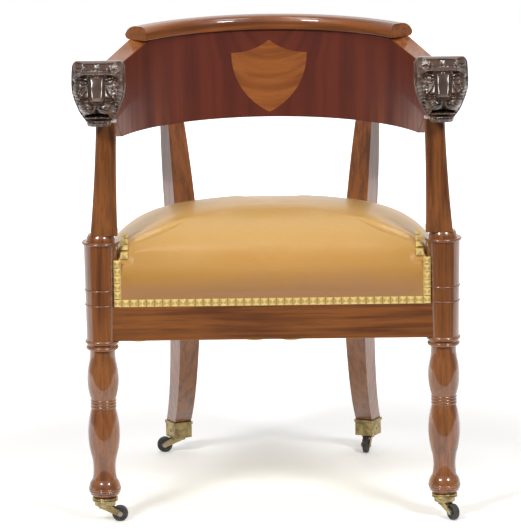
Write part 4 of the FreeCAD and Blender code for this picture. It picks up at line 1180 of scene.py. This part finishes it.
@dataclass(frozen=True)
class SeatPlan:
    """Plan of the seat: straight front, bowed sides and back, notched round the legs."""

    half_front: float = 0.276
    front_y: float = -0.22505
    side: Pair = (0.252, -0.02655)
    corner: Pair = (0.152, 0.15145)
    rear_y: float = 0.18945
    middle_y: float = -0.02655
    post: Pair = (0.270, -0.20655)
    post_radius: float = 0.0278
    collar_radius: float = 0.0308
    collar_z: float = 0.446
    rear_leg: Pair = (0.142, 0.14045)
    stile: Pair = (0.1595, 0.1758)
    rear_half: float = 0.0208
    rear_yaw: float = math.radians(28.0)
    rail_top: float = 0.3515
    arm_z: float = 0.5729
    spread_rays: int = 200
    notch_rays: int = 26
    notch_spread: float = math.radians(9.0)
    least_turn: float = math.radians(0.12)
    front_points: int = 200
    bow_points: int = 160
    ray_points: int = 240

    def arc(
        self, start: Pair, through: Pair, end: Pair
    ) -> np.ndarray:
        """Points along the circle through three points.

        Args:
            start: First point.
            through: Point on the way.
            end: Last point.

        Returns:
            A row for each point.
        """
        a, b, c = (np.array(point) for point in (start, through, end))
        sides = np.array([b - a, c - a])
        centre = a + np.linalg.solve(sides, (sides**2).sum(axis=1) / 2)
        radius = np.linalg.norm(a - centre)
        angles = np.unwrap([math.atan2(*(point - centre)[::-1]) for point in (a, b, c)])
        turn = np.linspace(angles[0], angles[2], self.bow_points)
        return centre + radius * np.column_stack([np.cos(turn), np.sin(turn)])

    def rays(self) -> np.ndarray:
        """Directions from the middle of the seat, closer together where they meet a leg.

        Returns:
            Angles in rising order.
        """
        turns = [np.linspace(-math.pi, math.pi, self.spread_rays, endpoint=False)]
        for side in (-1, 1):
            for x, y in (self.post, self.rear_leg):
                towards = math.atan2(y - self.middle_y, side * x)
                turns.append(
                    np.linspace(towards - self.notch_spread, towards + self.notch_spread, self.notch_rays)
                )
        ordered = np.sort((np.concatenate(turns) + math.pi) % math.tau - math.pi)
        return ordered[np.append(np.diff(ordered) > self.least_turn, True)]

    def reach(self, rays: np.ndarray) -> np.ndarray:
        """Distance from the middle to the plan's edge along each direction.

        Args:
            rays: Directions from the middle.

        Returns:
            Distances, in metres.
        """
        across = np.linspace(-self.half_front, self.half_front, self.front_points)
        front = np.column_stack([across, np.full(self.front_points, self.front_y)])
        right = self.arc((self.half_front, self.front_y), self.side, self.corner)
        rear = self.arc(self.corner, (0.0, self.rear_y), (-self.corner[0], self.corner[1]))
        left = right[::-1] * (-1.0, 1.0)
        edge = np.concatenate([front, right, rear, left]) - (0.0, self.middle_y)
        turns = np.arctan2(edge[:, 1], edge[:, 0])
        order = np.argsort(turns)
        return np.interp(rays, turns[order], np.hypot(*edge[order].T), period=math.tau)

    def inside_leg(self, x: np.ndarray, y: np.ndarray, z: float) -> np.ndarray:
        """Whether points of the plan lie in one of the four legs, with a small clearance.

        Args:
            x: Places across.
            y: Places lengthwise.
            z: Level, in metres.

        Returns:
            True where a leg stands.
        """
        x = np.abs(x)
        radius = self.collar_radius if z > self.collar_z else self.post_radius
        post = np.hypot(x - self.post[0], y - self.post[1]) < radius
        share = min(max((z - self.rail_top) / (self.arm_z - self.rail_top), 0.0), 1.0)
        leg_x = self.rear_leg[0] + share * (self.stile[0] - self.rear_leg[0])
        leg_y = self.rear_leg[1] + share * (self.stile[1] - self.rear_leg[1])
        cos, sin = math.cos(self.rear_yaw), math.sin(self.rear_yaw)
        first = (x - leg_x) * cos - (y - leg_y) * sin
        second = (x - leg_x) * sin + (y - leg_y) * cos
        return post | ((np.abs(first) < self.rear_half) & (np.abs(second) < self.rear_half))

    def ring(self, rays: np.ndarray, share: float, inset: float, z: float) -> tuple[np.ndarray, np.ndarray]:
        """Closed line round the seat at one level.

        Args:
            rays: Directions from the middle.
            share: Size of the line as a share of the plan.
            inset: Distance by which it is drawn in.
            z: Level, in metres.

        Returns:
            Points of the line, and whether each was held back by a leg.
        """
        reach = self.reach(rays) * share - inset
        shares = np.linspace(0.0, 1.0, self.ray_points)
        radii = reach[:, None] * shares[None, :]
        x = radii * np.cos(rays)[:, None]
        y = self.middle_y + radii * np.sin(rays)[:, None]
        blocked = self.inside_leg(x, y, z)
        held = blocked.any(axis=1)
        first = np.where(held, np.maximum(blocked.argmax(axis=1) - 1, 0), len(shares) - 1)
        radius = reach * shares[first]
        points = np.column_stack(
            [radius * np.cos(rays), self.middle_y + radius * np.sin(rays), np.full(len(rays), z)]
        )
        return points, held


def ring_faces(levels: int, count: int) -> list[tuple[int, ...]]:
    """Faces between successive closed lines of points, with the last line closed to a middle point.

    Args:
        levels: Number of lines.
        count: Points in each line.

    Returns:
        Faces, as numbers of points.
    """
    faces = []
    for level in range(levels - 1):
        for index in range(count):
            near, far = level * count + index, level * count + (index + 1) % count
            faces.append((near, far, far + count, near + count))
    last = (levels - 1) * count
    faces += [(last + index, last + (index + 1) % count, levels * count) for index in range(count)]
    return faces


# Settings of the leather in the cloth simulation.
HIDE = {
    "quality": 6,
    "mass": 0.6,
    "tension_stiffness": 30.0,
    "compression_stiffness": 30.0,
    "shear_stiffness": 10.0,
    "bending_stiffness": 4.0,
    "use_pressure": True,
    "vertex_group_mass": "held",
}


@dataclass
class LeatherSeat:
    """Crowned leather cover, stretched over its stuffing and held at the nails."""

    plan: SeatPlan
    crown: float = 0.125
    leather: float = 0.0018
    steps: int = 4
    pressure: float = 4.0
    frames: int = 20
    most_swell: float = 0.006
    # Each station of the crown: rise as a share of the crown, and the plan's share of its size.
    stations: tuple[Pair, ...] = (
        (0.00, 1.000),
        (0.11, 0.999),
        (0.18, 1.004),
        (0.28, 1.008),
        (0.46, 0.994),
        (0.62, 0.950),
        (0.76, 0.868),
        (0.87, 0.742),
        (0.945, 0.565),
        (0.985, 0.340),
        (1.00, 0.120),
    )
    # Fall towards the back and lift of the sides, with the limits in plan between which they fade in.
    rear_fall: float = 0.055
    fall_shares: Pair = (0.3, 1.0)
    fall_line: float = 0.03
    side_lift: float = 0.013
    lift_across: Pair = (0.02, 0.26)
    lift_along: Pair = (-0.18, 0.02)
    # Front that the nails hold flat: the row, the columns beside the posts and the notches above them.
    nailed: float = 0.016
    front_swell: float = 0.0035
    row_fade: Pair = (0.015, 0.030)
    column: Pair = (0.205, 0.236)
    column_top: float = 0.43
    column_fade: Pair = (-0.005, 0.010)
    notch_press: float = 0.0016
    notch_across: Pair = (0.218, 0.226)
    notch_along: Pair = (0.160, 0.168)
    notch_fade: Pair = (-0.012, -0.004)

    def profile(self) -> list[Pair]:
        """Rises and sizes along a smooth line through the stations.

        Returns:
            Rise and size of each line round the seat, as shares.
        """
        knots = np.array(self.stations)
        padded = np.vstack([2 * knots[0] - knots[1], knots, 2 * knots[-1] - knots[-2]])
        levels = []
        for index in range(1, len(knots)):
            before, start, end, after = padded[index - 1 : index + 3]
            for part in np.arange(self.steps) / self.steps:
                bend = 2 * start + (end - before) * part
                bend += (2 * before - 5 * start + 4 * end - after) * part**2
                bend += (3 * start - before - 3 * end + after) * part**3
                levels.append(tuple(bend / 2))
        levels.append(tuple(knots[-1]))
        return levels

    def build(self, wardrobe: Wardrobe) -> bpy.types.Object:
        """Model the cover.

        Args:
            wardrobe: Materials to dress it from.

        Returns:
            The finished piece.
        """
        rays = self.plan.rays()
        lines = []
        held = []
        for rise, share in self.profile():
            points, blocked = self.plan.ring(rays, share, 0.0, self.plan.rail_top + self.crown * rise)
            lines.append(points)
            held.append(blocked)
        top = [(0.0, self.plan.middle_y, self.plan.rail_top + self.crown)]
        piece = mesh_piece("leather_seat", np.vstack([*lines, top]), ring_faces(len(lines), len(rays)))
        self.settle(piece)
        edit(piece, ("normals_make_consistent", {"inside": False}))
        self.mark_held(piece, np.append(np.concatenate(held), False))
        self.swell(piece)
        apply_modifier(piece, "SUBSURF", levels=1, render_levels=1)
        self.tuck(piece)
        apply_modifier(piece, "SOLIDIFY", thickness=self.leather, offset=-1.0)
        smooth_look(piece)
        wardrobe.dress(piece, "leather")
        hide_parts("seat_cover", "seat_stuffing")
        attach(piece, "chair")
        return piece

    def settle(self, piece: bpy.types.Object) -> None:
        """Let the crown fall towards the back, and fill it out towards the sides.

        Args:
            piece: Cover to shape.
        """
        points = points_of(piece)
        share = np.clip((points[:, 2] - self.plan.rail_top) / self.crown, 0.0, 1.0)
        behind = np.maximum(points[:, 1] + self.fall_line, 0.0)
        beside = step(np.abs(points[:, 0]), *self.lift_across) * step(points[:, 1], *self.lift_along)
        fall = step(share, *self.fall_shares) * (-self.rear_fall * behind)
        points[:, 2] += fall + share * self.side_lift * beside
        move_points(piece, points)

    def tuck(self, piece: bpy.types.Object) -> None:
        """Hold the front flat under the nails, in their row and in the two columns beside the posts.

        Args:
            piece: Cover to shape.
        """
        points = points_of(piece)
        across, rise = np.abs(points[:, 0]), points[:, 2]
        swell = self.front_swell * (1.0 - step(across, *self.column))
        swell += self.front_swell * step(rise, *(self.column_top + fade for fade in self.column_fade))
        swell *= step(rise, *(self.plan.rail_top + fade for fade in self.row_fade))
        points[:, 1] = np.maximum(points[:, 1], self.plan.front_y - swell)
        notch = step(across, *self.notch_across) * step(-points[:, 1], *self.notch_along)
        notch *= step(rise, *(self.column_top + fade for fade in self.notch_fade))
        points[:, 1] += notch * self.notch_press
        points[:, 2] -= notch * self.notch_press
        move_points(piece, points)

    def mark_held(self, piece: bpy.types.Object, held: np.ndarray) -> None:
        """Mark the points that nails or legs hold, in a vertex group.

        Args:
            piece: Cover to mark.
            held: Whether a leg holds each point.
        """
        group = piece.vertex_groups.new(name="held")
        for index, point in enumerate(points_of(piece)):
            if held[index] or point[2] < self.plan.rail_top + self.nailed:
                group.add([index], 1.0, "REPLACE")

    def swell(self, piece: bpy.types.Object) -> None:
        """Press the leather out from inside, with its edge pinned, and keep the movement small.

        Args:
            piece: Cover to shape.
        """
        start = points_of(piece)
        modifier = piece.modifiers.new("cloth", "CLOTH")
        for key, value in HIDE.items():
            setattr(modifier.settings, key, value)
        modifier.settings.uniform_pressure_force = self.pressure
        modifier.settings.effector_weights.gravity = 0.0
        modifier.collision_settings.use_collision = False
        modifier.point_cache.frame_start = 1
        modifier.point_cache.frame_end = self.frames
        for number in range(1, self.frames + 1):
            bpy.context.scene.frame_set(number)
        only(piece)
        bpy.ops.object.modifier_apply(modifier=modifier.name)
        bpy.context.scene.frame_set(1)
        moved = points_of(piece) - start
        length = np.linalg.norm(moved, axis=1)
        kept = np.minimum(1.0, self.most_swell / np.maximum(length, 1e-9))
        log.info("leather swells by up to %.1f mm", length.max() / MILLIMETRE)
        move_points(piece, start + moved * kept[:, None])


@dataclass
class BottomCloth:
    """Thin cloth tacked under the rails, which sags between its tacks."""

    plan: SeatPlan
    inset: float = 0.005
    thickness: float = 0.0008
    rings: int = 26
    rail_z: float = 0.2973
    sag: float = 0.010
    edge_sag: float = 0.0056
    tack_pitch: float = 0.060
    # Shares of the way to the edge at which the belly ends and the scallops begin and end.
    belly_end: Pair = (0.2, 0.92)
    scallop_start: Pair = (0.5, 0.75)
    scallop_end: Pair = (0.915, 0.985)

    def build(self, wardrobe: Wardrobe) -> bpy.types.Object:
        """Model the cloth.

        Args:
            wardrobe: Materials to dress it from.

        Returns:
            The finished piece.
        """
        rays = self.plan.rays()
        lines = []
        level = self.rail_z - self.thickness
        for index in range(self.rings):
            points, _ = self.plan.ring(rays, 1.0 - index / self.rings, self.inset * (index == 0), level)
            lines.append(points)
        points = np.vstack([*lines, [(0.0, self.plan.middle_y, level)]])
        points[:, 2] -= self.hang(points)
        piece = mesh_piece("dust_cloth", points, ring_faces(self.rings, len(rays)))
        edit(piece, ("normals_make_consistent", {"inside": False}))
        apply_modifier(piece, "SOLIDIFY", thickness=self.thickness, offset=0.0)
        smooth_look(piece)
        wardrobe.dress(piece, "cloth")
        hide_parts("bottom_cloth")
        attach(piece, "chair")
        return piece

    def hang(self, points: np.ndarray) -> np.ndarray:
        """Sag below the rails: a wide belly, and uneven scallops along the edge between tacks.

        Args:
            points: Points of the cloth.

        Returns:
            Drop of each point, in metres.
        """
        x, y = points[:, 0], points[:, 1] - self.plan.middle_y
        edge = self.plan.reach(np.arctan2(y, x))
        share = np.hypot(x, y) / edge
        belly = self.sag * (1.0 - step(share, *self.belly_end))
        scallop = 0.5 - 0.5 * np.cos(math.tau * x / self.tack_pitch)
        uneven = 0.55 + 0.45 * np.sin(23.0 * x + 1.3)
        near_edge = step(share, *self.scallop_start) * (1.0 - step(share, *self.scallop_end))
        return belly + self.edge_sag * scallop * uneven * near_edge


# Studio


@dataclass(frozen=True)
class Lamp:
    """Square soft light that looks at the middle of the chair."""

    name: str
    place: Triple
    size: float
    power: float
    aim: Triple = (0.0, 0.0, 0.45)

    def hang(self) -> None:
        """Put the light in its place."""
        lamp = bpy.data.lights.new(self.name, "AREA")
        lamp.size = self.size
        lamp.energy = self.power
        holder = bpy.data.objects.new(self.name, lamp)
        holder.location = self.place
        sight = Vector(self.aim) - Vector(self.place)
        holder.rotation_euler = sight.to_track_quat("-Z", "Y").to_euler()
        bpy.context.scene.collection.objects.link(holder)


@dataclass
class Studio:
    """Plain pale floor, soft lights, white surroundings and the photograph's camera."""

    picture: tuple[int, int] = (521, 532)
    focal_pixels: float = 6067.56
    eye: Triple = (-0.01821, -9.57347, 2.39992)
    pitch: float = math.radians(11.985)
    roll: float = math.radians(-0.7326)
    sensor: float = 36.0
    floor_half: float = 2.5
    floor_front: float = -0.6
    floor_glow: Pair = (0.20, 1.0)
    floor_fade: Pair = (0.45, 1.5)
    surround: float = 1.0
    front_surround: float = 0.08
    world_fade: Pair = (-0.25, 0.75)
    paper: tuple[Colour, Colour] = ((0.93, 0.93, 0.93), (0.95, 0.95, 0.95))
    lamps: tuple[Lamp, ...] = (
        Lamp("key", (-1.9, -2.9, 2.9), 0.8, 92.0),
        Lamp("fill", (2.0, -2.8, 2.8), 0.8, 76.0),
        Lamp("top_left", (-0.55, -0.45, 2.7), 0.6, 9.0),
        Lamp("top_right", (0.65, -0.45, 2.7), 0.6, 8.0),
    )

    def build(self) -> None:
        """Set up floor, surroundings, lights and camera."""
        self.floor()
        self.surroundings()
        for lamp in self.lamps:
            lamp.hang()
        self.camera()

    def floor(self) -> None:
        """Wide pale floor under the casters."""
        bpy.ops.object.select_all(action="DESELECT")
        middle = self.floor_front + self.floor_half
        bpy.ops.mesh.primitive_plane_add(size=2 * self.floor_half, location=(0.0, middle, 0.0))
        plane = bpy.context.active_object
        plane.name = "studio_floor"
        graph = Graph("studio_floor")
        place = graph.place()
        paper = graph.mix(graph.noise(place, 1.5, 2.0), *self.paper)
        path = graph.node("ShaderNodeLightPath").outputs
        seen = graph.math("MAXIMUM", path["Is Camera Ray"], path["Is Glossy Ray"])
        x, y, _ = graph.split(place)
        away = graph.ramp(graph.length(x, graph.math("ADD", y, middle)), *self.floor_fade)
        glow = graph.times(seen, graph.range(away, *self.floor_glow))
        graph.shade(Base_Color=paper, Roughness=0.6, Emission_Color=paper, Emission_Strength=glow)
        plane.data.materials.append(graph.material)

    def surroundings(self) -> None:
        """White backdrop that lights the object, with the unlit end of the studio in front of it."""
        world = bpy.data.worlds.new("studio")
        world.use_nodes = True
        nodes, links = world.node_tree.nodes, world.node_tree.links
        facing = nodes.new("ShaderNodeSeparateXYZ")
        links.new(nodes.new("ShaderNodeTexCoord").outputs["Generated"], facing.inputs[0])
        fade = nodes.new("ShaderNodeMapRange")
        fade.interpolation_type = "SMOOTHSTEP"
        limits = (*self.world_fade, self.front_surround, self.surround)
        for key, value in zip(("From Min", "From Max", "To Min", "To Max"), limits):
            fade.inputs[key].default_value = value
        links.new(facing.outputs["Y"], fade.inputs["Value"])
        seen = nodes.new("ShaderNodeMath")
        seen.operation = "MAXIMUM"
        links.new(fade.outputs["Result"], seen.inputs[0])
        links.new(nodes.new("ShaderNodeLightPath").outputs["Is Camera Ray"], seen.inputs[1])
        ground = nodes["Background"]
        ground.inputs["Color"].default_value = (1.0, 1.0, 1.0, 1.0)
        links.new(seen.outputs[0], ground.inputs["Strength"])
        bpy.context.scene.world = world

    def camera(self) -> None:
        """Camera of the photograph."""
        lens = bpy.data.cameras.new("photo_camera")
        lens.sensor_width = self.sensor
        lens.lens = self.focal_pixels * self.sensor / max(self.picture)
        lens.clip_end = 100.0
        holder = bpy.data.objects.new("photo_camera", lens)
        upright = Matrix.Rotation(math.pi / 2 - self.pitch, 4, "X")
        holder.matrix_world = Matrix.Translation(self.eye) @ upright @ Matrix.Rotation(self.roll, 4, "Z")
        bpy.context.scene.collection.objects.link(holder)
        bpy.context.scene.camera = holder
        bpy.context.scene.view_settings.view_transform = "Standard"


def main() -> None:
    """Dress the frame, model the soft and carved pieces and set up the studio."""
    logging.basicConfig(level=logging.INFO, format="%(message)s")
    wardrobe = Wardrobe()
    wardrobe.dress_frame()
    for side in Side:
        LionHead(side).build(wardrobe)
    plan = SeatPlan()
    LeatherSeat(plan).build(wardrobe)
    BottomCloth(plan).build(wardrobe)
    Studio().build()


if __name__ == "__main__":
    main()
